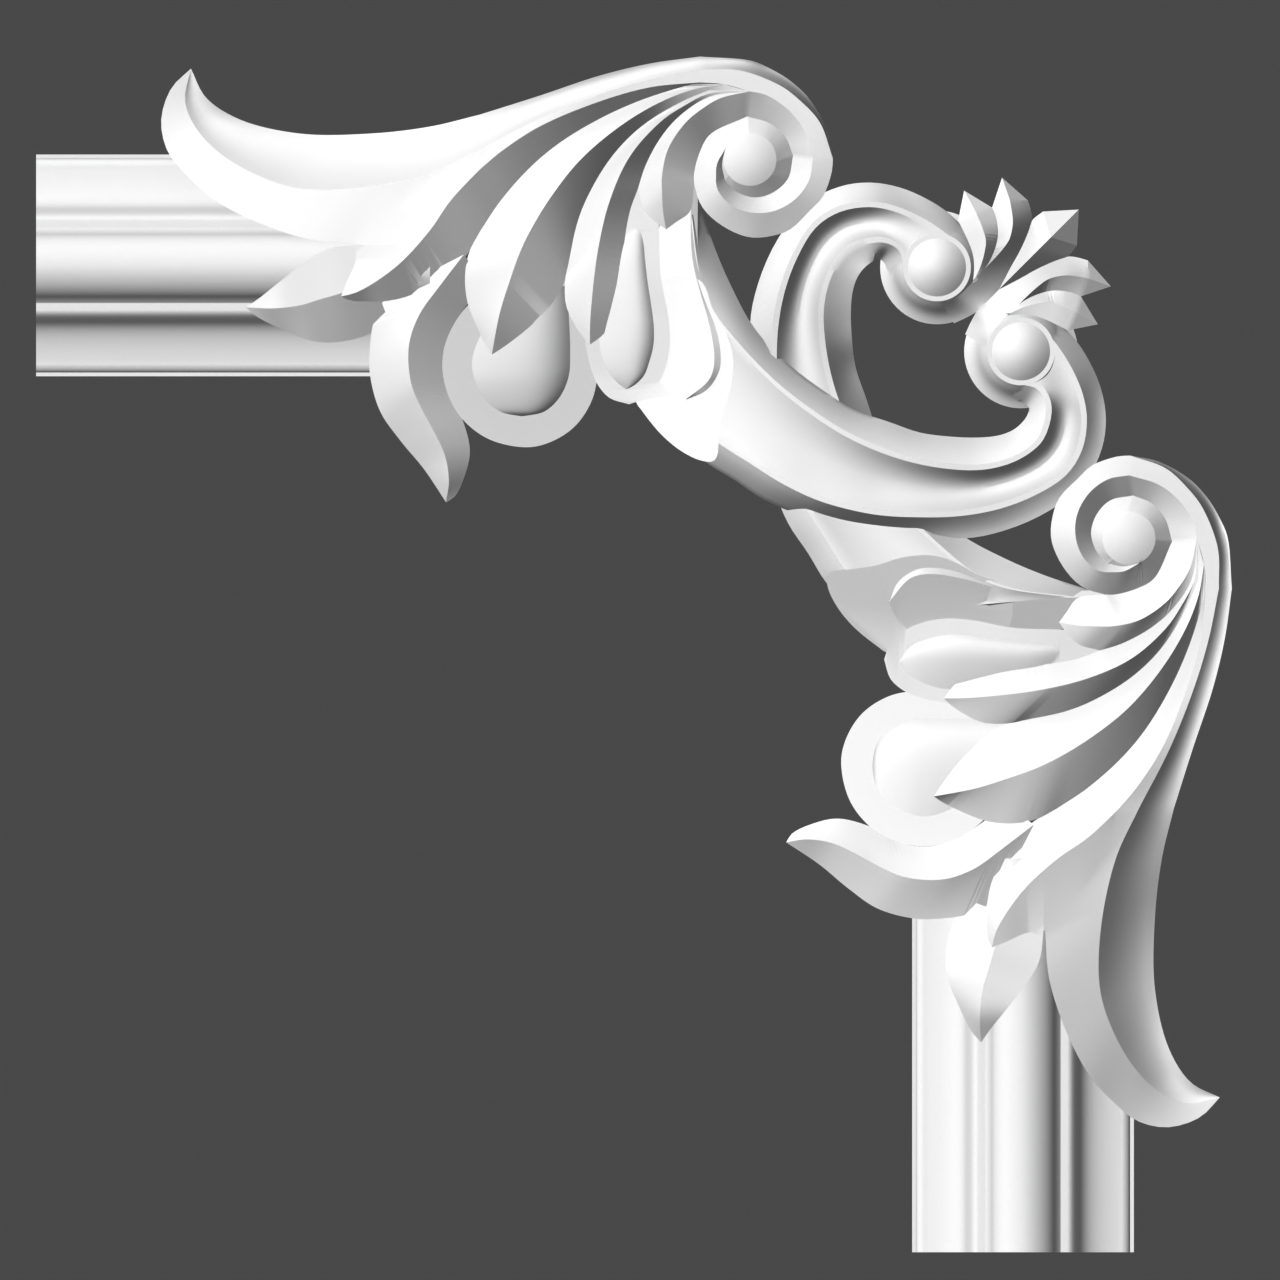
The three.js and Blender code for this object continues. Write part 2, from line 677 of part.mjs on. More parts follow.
// The eye of a curl: a ball in a flat ring, with a hollow side.
const CURL_EYE = [-217, 133];
const eyeSide = [[57, 40], [52, 43.7], [48, 48], [44, 55], [40, 65], [34, 76]];
const EYE_BALL_RADIUS = 29;
const EYE_BALL_TOP = 91;

// Moves a rail sideways in the plan towards another one.
function towards(rail, other, distance) {
  return rail.map(([left, up], i) => {
    const [toLeft, toUp] = [other[i][0] - left, other[i][1] - up];
    const run = Math.hypot(toLeft, toUp) || 1;
    return [left + (toLeft / run) * distance, up + (toUp / run) * distance];
  });
}

// A panel's rails at shares of the way across it, sunk along a parabola at every station.
function between(from, to, shares, sags) {
  return shares.map((share) => from.map((point, i) => {
    const across = point.map((value, axis) => value + (to[i][axis] - value) * share);
    return [across[0], across[1], across[2] - 4 * share * (1 - share) * sags[i]];
  }));
}

function stem({ heights, outerFalls, outerHollows, innerFalls, innerHollows }, mirrored) {
  const raised = (rail, falls) => rail.map(([left, up], i) => [
    left, up, heights[i] - (falls ? falls[i] : 0),
  ]);
  const outerFoot = raised(stemOuterFoot, outerFalls);
  const innerFoot = raised(stemInnerFoot, innerFalls);
  const outerFillet = raised(stemOuterFillet);
  const innerFillet = raised(stemInnerFillet);
  const outerInside = raised(towards(stemOuterFillet, stemInnerFillet, FILLET_STEPS));
  const innerInside = raised(towards(stemInnerFillet, stemOuterFillet, FILLET_STEPS));
  const rails = [
    ...between(outerFoot, outerFillet, SIDE_SHARES, outerHollows),
    outerFillet,
    outerInside,
    ...between(outerInside, innerInside, CHANNEL_SHARES, channelDepths),
    innerInside,
    innerFillet,
    ...between(innerFoot, innerFillet, SIDE_SHARES, innerHollows).reverse(),
  ];
  const stations = heights.length - 1;
  const eyeTop = eyeSide.at(-1)[1];
  const eye = [...eyeSide, ...domeProfile(EYE_BALL_RADIUS, eyeTop, EYE_BALL_TOP)];
  return [
    relief(rails.map((rail) => line(rail, stations, true)), { mirrored }),
    turned(CURL_EYE, eye, mirrored),
  ];
}

// The palmette at the outer point: two leaflets, each with a twin, and one on the diagonal.
const TIP_SECTIONS = 2;
const LEAFLET_SECTIONS = 8;

// A rail of a leaflet: straight from the tip to the widest place, then along a curve.
function faceted(tip, points) {
  return chained(line([tip, points[0]], TIP_SECTIONS), line(points, LEAFLET_SECTIONS - TIP_SECTIONS));
}

const valleyA12 = [
  [-188, 277, 64], [-192, 267, 66], [-194, 252, 67], [-192, 239, 63], [-186, 224, 68],
  [-178, 212, 76], [-171, 202, 78],
];
const FIRST_TIP = [-160, 294, 60];
const firstLeafletBack = faceted(FIRST_TIP, [
  [-154, 264, 75], [-159, 254, 77], [-165, 241, 78], [-169, 229, 78], [-170, 216, 78],
  [-169, 204, 78],
]);
const firstLeafletRidge = faceted(FIRST_TIP, [
  [-172, 272, 77], [-178, 258, 80], [-182, 244, 81], [-181, 234, 81], [-177, 219, 80],
  [-171, 206, 79],
]);
const firstLeafletEdge = faceted(FIRST_TIP, valleyA12);
const RING_JOINT = [-168, 202, 78];
const eyeRing = line([RING_JOINT, [-158.5, 192, 76], [-147, 184, 76], [-137, 182, 76]], 4);
const SECOND_TIP = [-198, 307, 56];
const secondLeafletBack = chained(faceted(SECOND_TIP, [...valleyA12, RING_JOINT]), eyeRing);
const secondLeafletRidge = chained(
  faceted(SECOND_TIP, [
    [-206, 284, 72], [-209, 264, 80], [-208, 254, 81], [-205, 244, 81], [-197, 233, 81],
    [-187, 222, 80], [-177, 212, 80], RING_JOINT,
  ]),
  eyeRing,
);
const CREASE_START = [-195, 195, 56];
const valleyA23 = [
  [-228, 264, 44], [-224, 252, 45], [-216, 234, 48], [-206, 216, 52], CREASE_START,
];
const secondLeafletEdge = chained(
  faceted(SECOND_TIP, [[-224, 284, 52], [-227, 274, 48], ...valleyA23]),
  line([CREASE_START, [-186, 186, 60], [-176, 175, 62], [-163, 167, 50], [-150, 161, 42]], 4),
);
const eyeCreaseSags = [...secondLeafletEdge.keys()].map((i) => Math.max(0, i - LEAFLET_SECTIONS) * 1.5);
const MIDDLE_TIP = [-275, 275, 48];
const middleLeafletBack = faceted(MIDDLE_TIP, [[-239, 273, 46], ...valleyA23]);
const middleLeafletRidge = faceted(MIDDLE_TIP, [
  [-247, 247, 80], [-236, 236, 77], [-216, 216, 68], CREASE_START,
]);

function palmette(mirrored) {
  const middle = between(secondLeafletRidge, secondLeafletEdge, [0.5], eyeCreaseSags);
  return [
    relief([firstLeafletBack, firstLeafletRidge, firstLeafletEdge], { mirrored }),
    relief([secondLeafletBack, secondLeafletRidge, ...middle, secondLeafletEdge], { mirrored }),
  ];
}

function middleLeaflet() {
  const twin = middleLeafletBack.map(([left, up, height]) => [-up, -left, height]);
  return relief([middleLeafletBack, middleLeafletRidge, twin], {});
}

const parts = [middleLeaflet()];
for (const mirrored of [false, true]) {
  parts.push(
    moulding(mirrored),
    ...longLeaf(mirrored),
    ...lobes(mirrored),
    ...scroll(mirrored),
    ...lowerLeaves(mirrored),
    ...drops(mirrored),
    ...stem(mirrored ? underStem : overStem, mirrored),
    ...palmette(mirrored),
  );
}
const whole = parts.reduce((sum, part) => sum.add(part)).asOriginal().getMesh();

const seamed = new THREE.BufferGeometry();
seamed.setAttribute("position", new THREE.Float32BufferAttribute(whole.vertProperties, 3));
seamed.setIndex(new THREE.BufferAttribute(whole.triVerts, 1));
const geometry = welded(seamed, SEAM_WELD);

const plaster = new THREE.MeshStandardMaterial({ color: 0xf0efec, roughness: 0.75, metalness: 0 });
const casting = new THREE.Mesh(geometry, plaster);
casting.name = "corner_casting";

const group = new THREE.Group();
group.add(casting);
export default group;
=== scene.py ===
"""A plaster corner for wall-panel moulding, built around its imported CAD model.

The corner is one casting: two square-cut lengths of moulding under mirrored leaf sprays,
scrolls, crossed stems and a palmette. Every form is worked out from rails, the lines that a
carver would cut first, given on a grid over the corner's front.
"""

import math

import bpy
import numpy as np
from bpy.props import FloatProperty, FloatVectorProperty, PointerProperty
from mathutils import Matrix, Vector


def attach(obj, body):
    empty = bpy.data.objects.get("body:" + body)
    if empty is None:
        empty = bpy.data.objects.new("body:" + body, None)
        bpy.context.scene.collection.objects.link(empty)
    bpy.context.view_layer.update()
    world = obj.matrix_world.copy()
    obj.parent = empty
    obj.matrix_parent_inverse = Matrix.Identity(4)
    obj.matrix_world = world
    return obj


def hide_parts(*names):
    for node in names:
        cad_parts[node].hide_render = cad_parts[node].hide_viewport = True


bl_info = {
    "name": "Plaster Moulding Corner",
    "version": (1, 0, 0),
    "blender": (4, 5, 0),
    "location": "3D View > Sidebar > Plaster Corner",
    "description": "Casts a carved corner for wall-panel moulding and sets it before a backdrop",
    "category": "Add Mesh",
}

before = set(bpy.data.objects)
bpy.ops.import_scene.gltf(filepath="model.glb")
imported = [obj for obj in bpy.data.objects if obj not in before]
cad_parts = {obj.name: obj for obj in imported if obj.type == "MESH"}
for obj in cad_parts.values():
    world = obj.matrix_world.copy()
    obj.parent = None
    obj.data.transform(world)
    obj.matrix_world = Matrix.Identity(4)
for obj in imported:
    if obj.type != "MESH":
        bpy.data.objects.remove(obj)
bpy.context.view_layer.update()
CAD_NODE = "corner_casting"
BODY = "root"


class CornerSizes(bpy.types.PropertyGroup):
    """Sizes of the corner that a user would change."""

    carving_span: FloatProperty(
        name="Carving Span",
        description="Length of one leaf spray with its stem, from the outer leaf to the heart",
        default=0.268,
        min=0.05,
        unit="LENGTH",
    )
    carving_relief: FloatProperty(
        name="Carving Relief",
        description="Depth of the carving over the wall",
        default=0.028,
        min=0.005,
        unit="LENGTH",
    )
    moulding_width: FloatProperty(
        name="Moulding Width",
        description="Width of the panel moulding over its outer edges",
        default=0.0555,
        min=0.02,
        unit="LENGTH",
    )
    stub_length: FloatProperty(
        name="Stub Length",
        description="Bare moulding that shows past the tip of the long leaf",
        default=0.03875,
        min=0.0,
        unit="LENGTH",
    )


class PlasterFinish(bpy.types.PropertyGroup):
    """Colours and texture of the cast plaster."""

    pale: FloatVectorProperty(
        name="Pale Plaster",
        description="Colour of the plaster where it dried evenly",
        subtype="COLOR",
        size=3,
        default=(0.87, 0.87, 0.87),
        min=0.0,
        max=1.0,
    )
    dull: FloatVectorProperty(
        name="Dull Plaster",
        description="Colour of the faint clouds in the plaster",
        subtype="COLOR",
        size=3,
        default=(0.86, 0.86, 0.86),
        min=0.0,
        max=1.0,
    )
    roughness: FloatProperty(
        name="Roughness",
        description="How matt the dry plaster is",
        default=0.8,
        min=0.0,
        max=1.0,
        subtype="FACTOR",
    )
    grain: FloatProperty(
        name="Grain",
        description="Height of the plaster's fine grain",
        default=0.00002,
        min=0.0,
        unit="LENGTH",
    )


class StageLook(bpy.types.PropertyGroup):
    """Backdrop, floor and light around the corner."""

    backdrop: FloatVectorProperty(
        name="Backdrop",
        description="Colour of the backdrop",
        subtype="COLOR",
        size=3,
        default=(0.25, 0.25, 0.25),
        min=0.0,
        max=1.0,
    )
    floor: FloatVectorProperty(
        name="Floor",
        description="Colour of the floor",
        subtype="COLOR",
        size=3,
        default=(0.75, 0.75, 0.74),
        min=0.0,
        max=1.0,
    )
    key_strength: FloatProperty(
        name="Key Strength",
        description="Strength of the soft light from the upper left",
        default=3.09,
        min=0.0,
    )
    fill_strength: FloatProperty(
        name="Fill Strength",
        description="Strength of each lamp in the ring that fills the shadows",
        default=0.45,
        min=0.0,
    )
    back_strength: FloatProperty(
        name="Back Strength",
        description="Strength of the lamp behind the casting",
        default=1.5,
        min=0.0,
    )
    room_strength: FloatProperty(
        name="Room Strength",
        description="Strength of the dim light of the room",
        default=0.0,
        min=0.0,
    )
    view_width: FloatProperty(
        name="View Width",
        description="Width of the camera's view at the corner",
        default=0.32,
        min=0.01,
        unit="LENGTH",
    )


# The carving is drawn on a grid of this many steps over its span, and its relief on a
# grid of this many steps over its depth. A point is [left of the crossing, above the
# crossing, height over the back]. The origin is on the back, where the stems cross.
SPAN_STEPS = 1072
RELIEF_STEPS = 112

# Where the long leaf's tip, the moulding's centre line and its hidden inner end lie.
LEAF_TIP = 613
MOULDING_LINE = 219
MOULDING_START = 374

# Steps into which each section of a rail is divided, and each stretch of a curve before that.
FINE = 4
CURVE_STEPS = 24
# The least spacing of two points in the working of a curve, so that twin points do no harm.
LEAST_SPACING = 1e-4
# The most that a panel is bent, as a share of its width, and the cuts across a bent panel.
MOST_BEND = 0.25
PANEL_CUTS = 6
# Sides of a turned form, and rings of the dome on top of it.
ROUND_SIDES = 64
DOME_CUTS = 14
# Points nearer than this, in metres, are one point.
WELD = 2e-6


def curve(points, before=None, after=None):
    """A smooth curve through the points, densely sampled; the neighbours only steer its ends."""
    points = np.array(points, dtype=float)
    first = 2 * points[0] - points[1] if before is None else np.array(before, dtype=float)
    last = 2 * points[-1] - points[-2] if after is None else np.array(after, dtype=float)
    knots = np.vstack([first, points, last])
    share = np.linspace(0, 1, CURVE_STEPS, endpoint=False)[:, None]
    pieces = []
    for p0, p1, p2, p3 in zip(knots, knots[1:], knots[2:], knots[3:]):
        sides = ((p0, p1), (p1, p2), (p2, p3))
        d0, d1, d2 = (max(math.dist(a, b) ** 0.5, LEAST_SPACING) for a, b in sides)
        out = ((p1 - p0) / d0 - (p2 - p0) / (d0 + d1) + (p2 - p1) / d1) * d1
        into = ((p2 - p1) / d1 - (p3 - p1) / (d1 + d2) + (p3 - p2) / d2) * d1
        pieces.append(
            p1
            + share * out
            + share**2 * (3 * (p2 - p1) - 2 * out - into)
            + share**3 * (2 * (p1 - p2) + out + into)
        )
    pieces.append(points[-1:])
    return np.vstack(pieces)


def line(points, sections, in_step=False, before=None, after=None):
    """Points along a smooth curve: equal lengths apart, or in step with the given points."""
    dense = curve(points, before, after)
    wanted = np.linspace(0, 1, sections * FINE + 1)
    if in_step:
        along = np.linspace(0, 1, len(dense))
    else:
        along = np.concatenate([[0], np.cumsum(np.linalg.norm(np.diff(dense, axis=0), axis=1))])
        along /= along[-1]
    return np.column_stack([np.interp(wanted, along, column) for column in dense.T])


def lines(rails, sections):
    """The same number of points along each rail."""
    return [line(rail, sections) for rail in rails]


def chained(first, *rest):
    """Lines end to end, each starting at the last point of the one before it."""
    return np.vstack([first, *(part[1:] for part in rest)])


# Section of the moulding, in metres from its centre line or its back.
TORUS_RADIUS = 0.00825
FILLET_START = 0.0094
FILLET_WIDTH = 0.0017
FILLET_HEIGHT = 0.0135
ARRIS_WIDTH = 0.00315
ARRIS_HEIGHT = 0.00445
NOSE_WIDTH = 0.0023
NOSE_HEIGHT = 0.00345
EDGE_STRIP = 0.001
EDGE_HEIGHT = 0.0014

# How far across and how far down each curve of the section its two control points lie, as
# shares of the curve's own width and fall: the ease from the half-round to the fillet, the
# arris under the fillet, and the cove.
EASE_PULLS = ((0.29, 0.47), (0.7, 0.83))
ARRIS_PULLS = ((0.44, 0.0), (0.63, 0.4))
COVE_PULLS = ((0.113, 0.473), (0.328, 0.821))

# The half-round turns this far down from its crown before it eases out.
TORUS_TURN = math.radians(70)
SECTION_CUTS = 20

# The plaster: scale and detail of its clouds and of its grain, how far its roughness wanders,
# its sheen, and the angle in degrees from which an edge is sharp.
CLOUD_SCALE = 30
CLOUD_DETAIL = 3
GRAIN_SCALE = 1500
GRAIN_DETAIL = 4
ROUGHNESS_SPREAD = 0.05
PLASTER_SHEEN = 0.15
SHARP_DEGREES = 26

# The stage, in metres: the backdrop stands behind the corner, and the floor lies below it.
STAGE_REACH = 4
BACKDROP_DISTANCE = 1.2
FLOOR_LEVEL = -1.5
STAGE_ROUGHNESS = 0.9

# The lamps: the ways to the key lamp and the back lamp, how many lamps fill the shadows, how
# far these stand off the line of sight, and how soft each lamp is, both in degrees.
KEY_DIRECTION = (-0.37, -0.865, 0.337)
BACK_DIRECTION = (0, 1, 0)
FILL_LAMPS = 8
FILL_TILT = 75
LAMP_SOFTNESS = 20

# Where the camera stands; it looks straight at the wall.
CAMERA_PLACE = (-0.041, -0.6, -0.0389)

# Lines that two neighbouring forms share, so that their surfaces meet along them. The four
# valleys run under the lobes, from the first lobe to the fourth.
SPRAY_ROOT = [104, 402, 100]
RIDGE_JOINT = [80, 400, 100]
SCROLL_TOP = [54, 393, 100]
VALLEY_TOP = [57, 368, 77]
SCROLL_FOOT = [110, 301, 74]
SCROLL_END = [79, 335, 97]
BAND_VALLEY = line([[446, 241, 90], [410, 274, 92], [364, 302, 98], [324, 315, 103]], 3)
SPINE_ROOT = line([
    [324, 315, 103], [304, 332, 104], [264, 358, 104], [204, 383, 102], [154, 397, 101],
    SPRAY_ROOT,
], 7)
FIRST_VALLEY = line([
    [324, 253, 76], [304, 283, 75], [274, 317, 75], [244, 342, 76], [204, 366, 78],
    [164, 384, 84], [124, 397, 92], SPRAY_ROOT,
], 8)
SECOND_VALLEY = line([
    [236, 219, 70], [227, 261, 70], [216, 289, 71], [193, 327, 74], [164, 357, 82],
    [124, 382, 94], RIDGE_JOINT,
], 8)
THIRD_VALLEY = line([
    [166, 296, 74], [159, 318, 74], [144, 346, 80], [124, 369, 90], [94, 388, 98], SCROLL_TOP,
], 6)
FOURTH_VALLEY = line([SCROLL_FOOT, [110, 311, 72], [104, 333, 72], [94, 350, 73], VALLEY_TOP], 6)

# Rails of the long leaf: its lower edge, its ridge and its outer edge.
WING_EDGE = chained(
    line([
        [LEAF_TIP, 416, 8], [633, 396, 9], [643, 364, 12], [637, 334, 17], [620, 312, 28],
        [589, 284, 50], [544, 261, 68], [494, 245, 83], [446, 241, 90],
    ], 8),
    BAND_VALLEY,
    SPINE_ROOT,
)
WING_RIDGE = chained(
    line([
        [LEAF_TIP, 416, 8], [619, 384, 9], [609, 358, 16], [584, 331, 35], [544, 308, 57],
        [504, 296, 71], [444, 297, 84], [374, 312, 94], [324, 335, 99],
    ], 11),
    line([[324, 335, 99], [264, 366, 102], [204, 390, 102], [154, 405, 101], [104, 415, 100]], 7),
)
WING_BACK = chained(
    line([
        [LEAF_TIP, 416, 8], [598, 387, 10], [564, 365, 13], [504, 351, 19], [434, 351, 28],
        [374, 358, 50], [324, 370, 72],
    ], 11),
    line([[324, 370, 72], [264, 389, 85], [204, 409, 92], [154, 421, 91], [104, 428, 90]], 7),
)
WING_HOLLOW = 8

# Rails of the four lobes under the long leaf, from each lobe's tip to its root: the free
# edge and the valley that it runs into, the ridge, and the valley on the other side.
FIRST_LOBE = [
    chained(
        line([[463, 188, 96], [458, 201, 96], [449, 221, 93], [446, 241, 90]], 3),
        BAND_VALLEY,
        SPINE_ROOT,
    ),
    chained(
        line([
            [463, 188, 96], [450, 191, 100], [434, 199, 103], [404, 221, 106], [374, 254, 107],
            [354, 283, 106], [334, 305, 105], [324, 315, 103],
        ], 6),
        SPINE_ROOT,
    ),
    chained(
        line([
            [463, 188, 96], [454, 184, 90], [439, 183, 86], [421, 183, 84], [394, 189, 76],
            [364, 205, 74], [339, 227, 75], [324, 253, 76],
        ], 5),
        FIRST_VALLEY,
    ),
]
SECOND_LOBE = [
    chained(
        line([
            [312, 130, 88], [318, 139, 78], [330, 164, 79], [337, 184, 80], [339, 209, 82],
            [335, 232, 80], [324, 253, 76],
        ], 5),
        FIRST_VALLEY,
    ),
    line([
        [312, 130, 88], [310, 142, 92], [304, 172, 98], [294, 204, 103], [284, 232, 107],
        [274, 253, 109], [254, 286, 110], [224, 324, 108], [184, 358, 105], [144, 382, 102],
        [110, 395, 101], RIDGE_JOINT,
    ], 13),
    chained(
        line([
            [312, 130, 88], [304, 135, 84], [294, 142, 78], [274, 158, 72], [254, 178, 70],
            [239, 204, 69], [236, 219, 70],
        ], 5),
        SECOND_VALLEY,
    ),
]
THIRD_LOBE = [
    chained(
        line([
            [214, 140, 78], [219, 145, 76], [229, 159, 76], [238, 179, 76], [239, 204, 75],
            [236, 219, 70],
        ], 4),
        SECOND_VALLEY,
    ),
    line([
        [214, 140, 78], [214, 154, 83], [213, 174, 88], [206, 234, 97], [194, 284, 101],
        [174, 328, 102], [144, 362, 102], [124, 376, 101], [94, 391, 100], SCROLL_TOP,
    ], 12),
    chained(
        line([
            [214, 140, 78], [204, 147, 72], [194, 158, 67], [185, 174, 66], [181, 199, 70],
            [180, 239, 73], [174, 274, 72], [166, 296, 74],
        ], 6),
        THIRD_VALLEY,
    ),
]
FOURTH_LOBE = [
    chained(
        line([[138, 255, 78], [149, 263, 78], [160, 275, 77], [166, 296, 74]], 3),
        THIRD_VALLEY,
    ),
    line([
        [138, 255, 78], [141, 274, 85], [142, 294, 92], [142, 308, 94], [136, 335, 97],
        [119, 361, 99], [104, 374, 100], [84, 386, 100], SCROLL_TOP,
    ], 9),
    chained(line([[138, 255, 78], [127, 263, 72], [114, 273, 70], SCROLL_FOOT], 3), FOURTH_VALLEY),
]

# Rails of the scroll: its rim turns down at the side, its ridge winds in round the ball,
# and from the valley behind the ridge the second turn rises to the ball.
SCROLL_TOP_SECTIONS = 2
SCROLL_SIDE = [-29, 326, 98]
SCROLL_RIM = line([
    [104, 415, 100], [64, 414, 100], [24, 399, 99], [4, 384, 99], [-16, 362, 99], SCROLL_SIDE,
], 8)
SCROLL_RIM_BACK = line([
    [104, 428, 90], [54, 424, 80], [34, 416, 66], [14, 404, 58], [-6, 385, 55], [-22, 357, 62],
    SCROLL_SIDE,
], 8)
SCROLL_OUTER = chained(
    SCROLL_RIM,
    line([
        SCROLL_SIDE, [-28, 313, 97], [-19, 288, 95], [-6, 274, 93], [14, 255, 89], [34, 248, 86],
        [54, 247, 85], [74, 254, 83], [94, 268, 81], [104, 281, 79], SCROLL_FOOT,
    ], 8),
)
SCROLL_RIDGE = chained(
    line([SPRAY_ROOT, RIDGE_JOINT, SCROLL_TOP], SCROLL_TOP_SECTIONS, in_step=True),
    line([SCROLL_TOP, [37, 389, 100], [14, 373, 100], [0, 354, 100], [-9, 325, 101]], 6),
    line([
        [-9, 325, 101], [-5, 304, 101], [9, 285, 101], [31, 273, 101], [54, 272, 101],
        [74, 280, 100], [86, 294, 99], [88, 303, 98],
    ], 8),
)
SCROLL_RIDGE_END = line([[88, 303, 98], [87, 320, 97], SCROLL_END], 2)
SCROLL_VALLEY = chained(
    line([VALLEY_TOP, [34, 361, 79], [19, 348, 79], [11, 329, 78]], 6),
    line([
        [11, 329, 78], [16, 306, 78], [31, 292, 79], [49, 287, 79], [68, 293, 80], [79, 304, 84],
    ], 8),
)
SCROLL_VALLEY_END = line([[79, 304, 84], [82, 319, 90], SCROLL_END], 2)
SCROLL_BALL = [54, 325]
SCROLL_BALL_RADIUS = 26.5
SCROLL_BALL_FOOT = 96
SCROLL_BALL_TOP = 102
SECOND_TURN = chained(
    SCROLL_RIDGE_END,
    line([
        SCROLL_END, [70, 341, 97], [54, 347, 97], [38, 341, 97], [32, 325, 97], [38, 309, 97],
        [54, 303, 97], [70, 309, 97], [76, 325, 97],
    ], 20),
)

# Rails of the two lower leaves.
ARROW_BACK = [
    [558, 177, 56], [544, 187, 68], [524, 203, 84], [494, 226, 90], [474, 236, 92], [440, 240, 92],
]
ARROW_RIDGE = [
    [558, 177, 56], [529, 176, 80], [504, 179, 86], [484, 185, 89], [463, 191, 92], [430, 202, 92],
]
ARROW_EDGE = [
    [558, 177, 56], [546, 167, 57], [524, 156, 60], [494, 144, 61], [471, 142, 58],
    [444, 147, 56], [414, 160, 56],
]
HOOK_BACK = [
    [358, -18, 34], [380, 15, 36], [404, 44, 40], [424, 73, 46], [434, 109, 52],
    [434, 139, 58], [430, 164, 62], [421, 183, 64], [400, 200, 72],
]
HOOK_RIDGE = [
    [358, -18, 34], [355, 4, 52], [359, 29, 60], [370, 53, 66], [383, 77, 71],
    [393, 102, 77], [395, 139, 82], [385, 169, 85], [363, 200, 88], [340, 230, 88],
]
HOOK_EDGE = [
    [358, -18, 34], [349, -12, 35], [339, 9, 37], [334, 34, 40], [342, 66, 44],
    [358, 96, 50], [362, 124, 55], [354, 153, 58], [336, 181, 60], [320, 200, 60],
]

# The three drops that hang under the lobes, the rims round the first two, and the sheath that
# holds the stem. A point without a height lies on a tilted face.
FIRST_RIM = [
    [279, 37], [319, 47], [349, 75], [362, 119], [352, 157], [324, 189], [264, 205],
    [206, 195], [206, 154], [206, 114], [212, 84], [229, 58], [254, 42],
]
FIRST_DROP_BACK = [
    [282, 68, 46], [304, 73, 57], [319, 85, 63], [329, 104, 68], [332, 122, 69],
    [328, 139, 69], [318, 159, 69], [304, 184, 68],
]
FIRST_DROP_EDGE = [
    [282, 68, 46], [259, 73, 43], [244, 87, 43], [235, 108, 45], [233, 134, 48],
    [234, 169, 53], [238, 199, 60],
]
SECOND_RIM_BACK = [
    [175, 80, 60], [194, 86, 60], [204, 96, 60], [210, 107, 60], [216, 127, 62],
    [219, 145, 64], [221, 174, 66], [214, 224, 70], [196, 270, 70], [184, 304, 70],
]
SECOND_RIM_EDGE = [
    [175, 80, 60], [164, 84, 61], [153, 92, 62], [144, 104, 64], [137, 122, 66],
    [134, 144, 68], [136, 170, 70], [143, 207, 73], [145, 255, 73], [146, 304, 70],
]
SECOND_DROP_BACK = [
    [178, 95, 61], [190, 105, 64], [197, 116, 66], [204, 137, 67], [204, 157, 68],
    [200, 194, 70], [192, 234, 70], [179, 284, 58],
]
SECOND_DROP_EDGE = [
    [178, 95, 61], [170, 99, 62], [160, 109, 64], [155, 122, 66], [151, 137, 68],
    [150, 150, 70], [151, 166, 72], [157, 207, 74], [160, 240, 72], [158, 284, 58],
]
THIRD_DROP_BACK = [
    [118, 85], [134, 93], [145, 104], [154, 124], [154, 150], [150, 204], [140, 304],
]
THIRD_DROP_ARRIS = [
    [118, 85], [98, 101], [93, 108], [90, 119], [90, 134], [93, 152], [97, 169], [102, 186],
    [107, 204], [111, 222], [113, 244], [113, 300],
]
THIRD_DROP_EDGE = [
    [118, 85], [104, 88], [96, 94], [89, 104], [84, 116], [83, 129], [84, 144], [87, 159],
    [97, 189], [104, 219], [106, 239], [106, 300],
]
SHEATH = [
    [168, 82], [164, 76], [144, 51], [124, 34], [104, 24], [91, 23], [87, 28], [85, 46],
    [81, 72], [73, 99], [71, 127], [77, 149], [91, 175], [104, 204], [144, 204], [168, 144],
]

# Tilted faces, each as a place on it, [left, up, height], and its rise for each step to the
# left and for each step up.
FIRST_RIM_FACE = ([362, 119, 66], 0.1485, 0.1485)
THIRD_DROP_FACE = ([93, 99, 86], -0.45, -0.2)
SHEATH_FACE = ([164, 79, 62], -0.3, -0.17)

# How high the crowns of the first two drops stand over a straight line from side to side,
# and the powers with which a crown rises at the back and rounds over at the edge.
FIRST_DROP_CROWN = 20
SECOND_DROP_CROWN = 13
CROWN_RISE_POWER = 1.5
CROWN_FALL_POWER = 6
DROP_CUTS = 20

# How far the third drop falls over its chamfer, how far its wall falls from there, and how
# far the wall leans out.
THIRD_DROP_CHAMFER = 7
THIRD_DROP_WALL = 12
WALL_LEAN = 1.5

# Sections of the forms whose rails are each drawn in one sweep.
ARROW_SECTIONS = 9
HOOK_SECTIONS = 12
FIRST_RIM_SECTIONS = 26
SECOND_RIM_SECTIONS = 12
DROP_SECTIONS = 10
THIRD_DROP_SECTIONS = 14
SHEATH_SECTIONS = 28

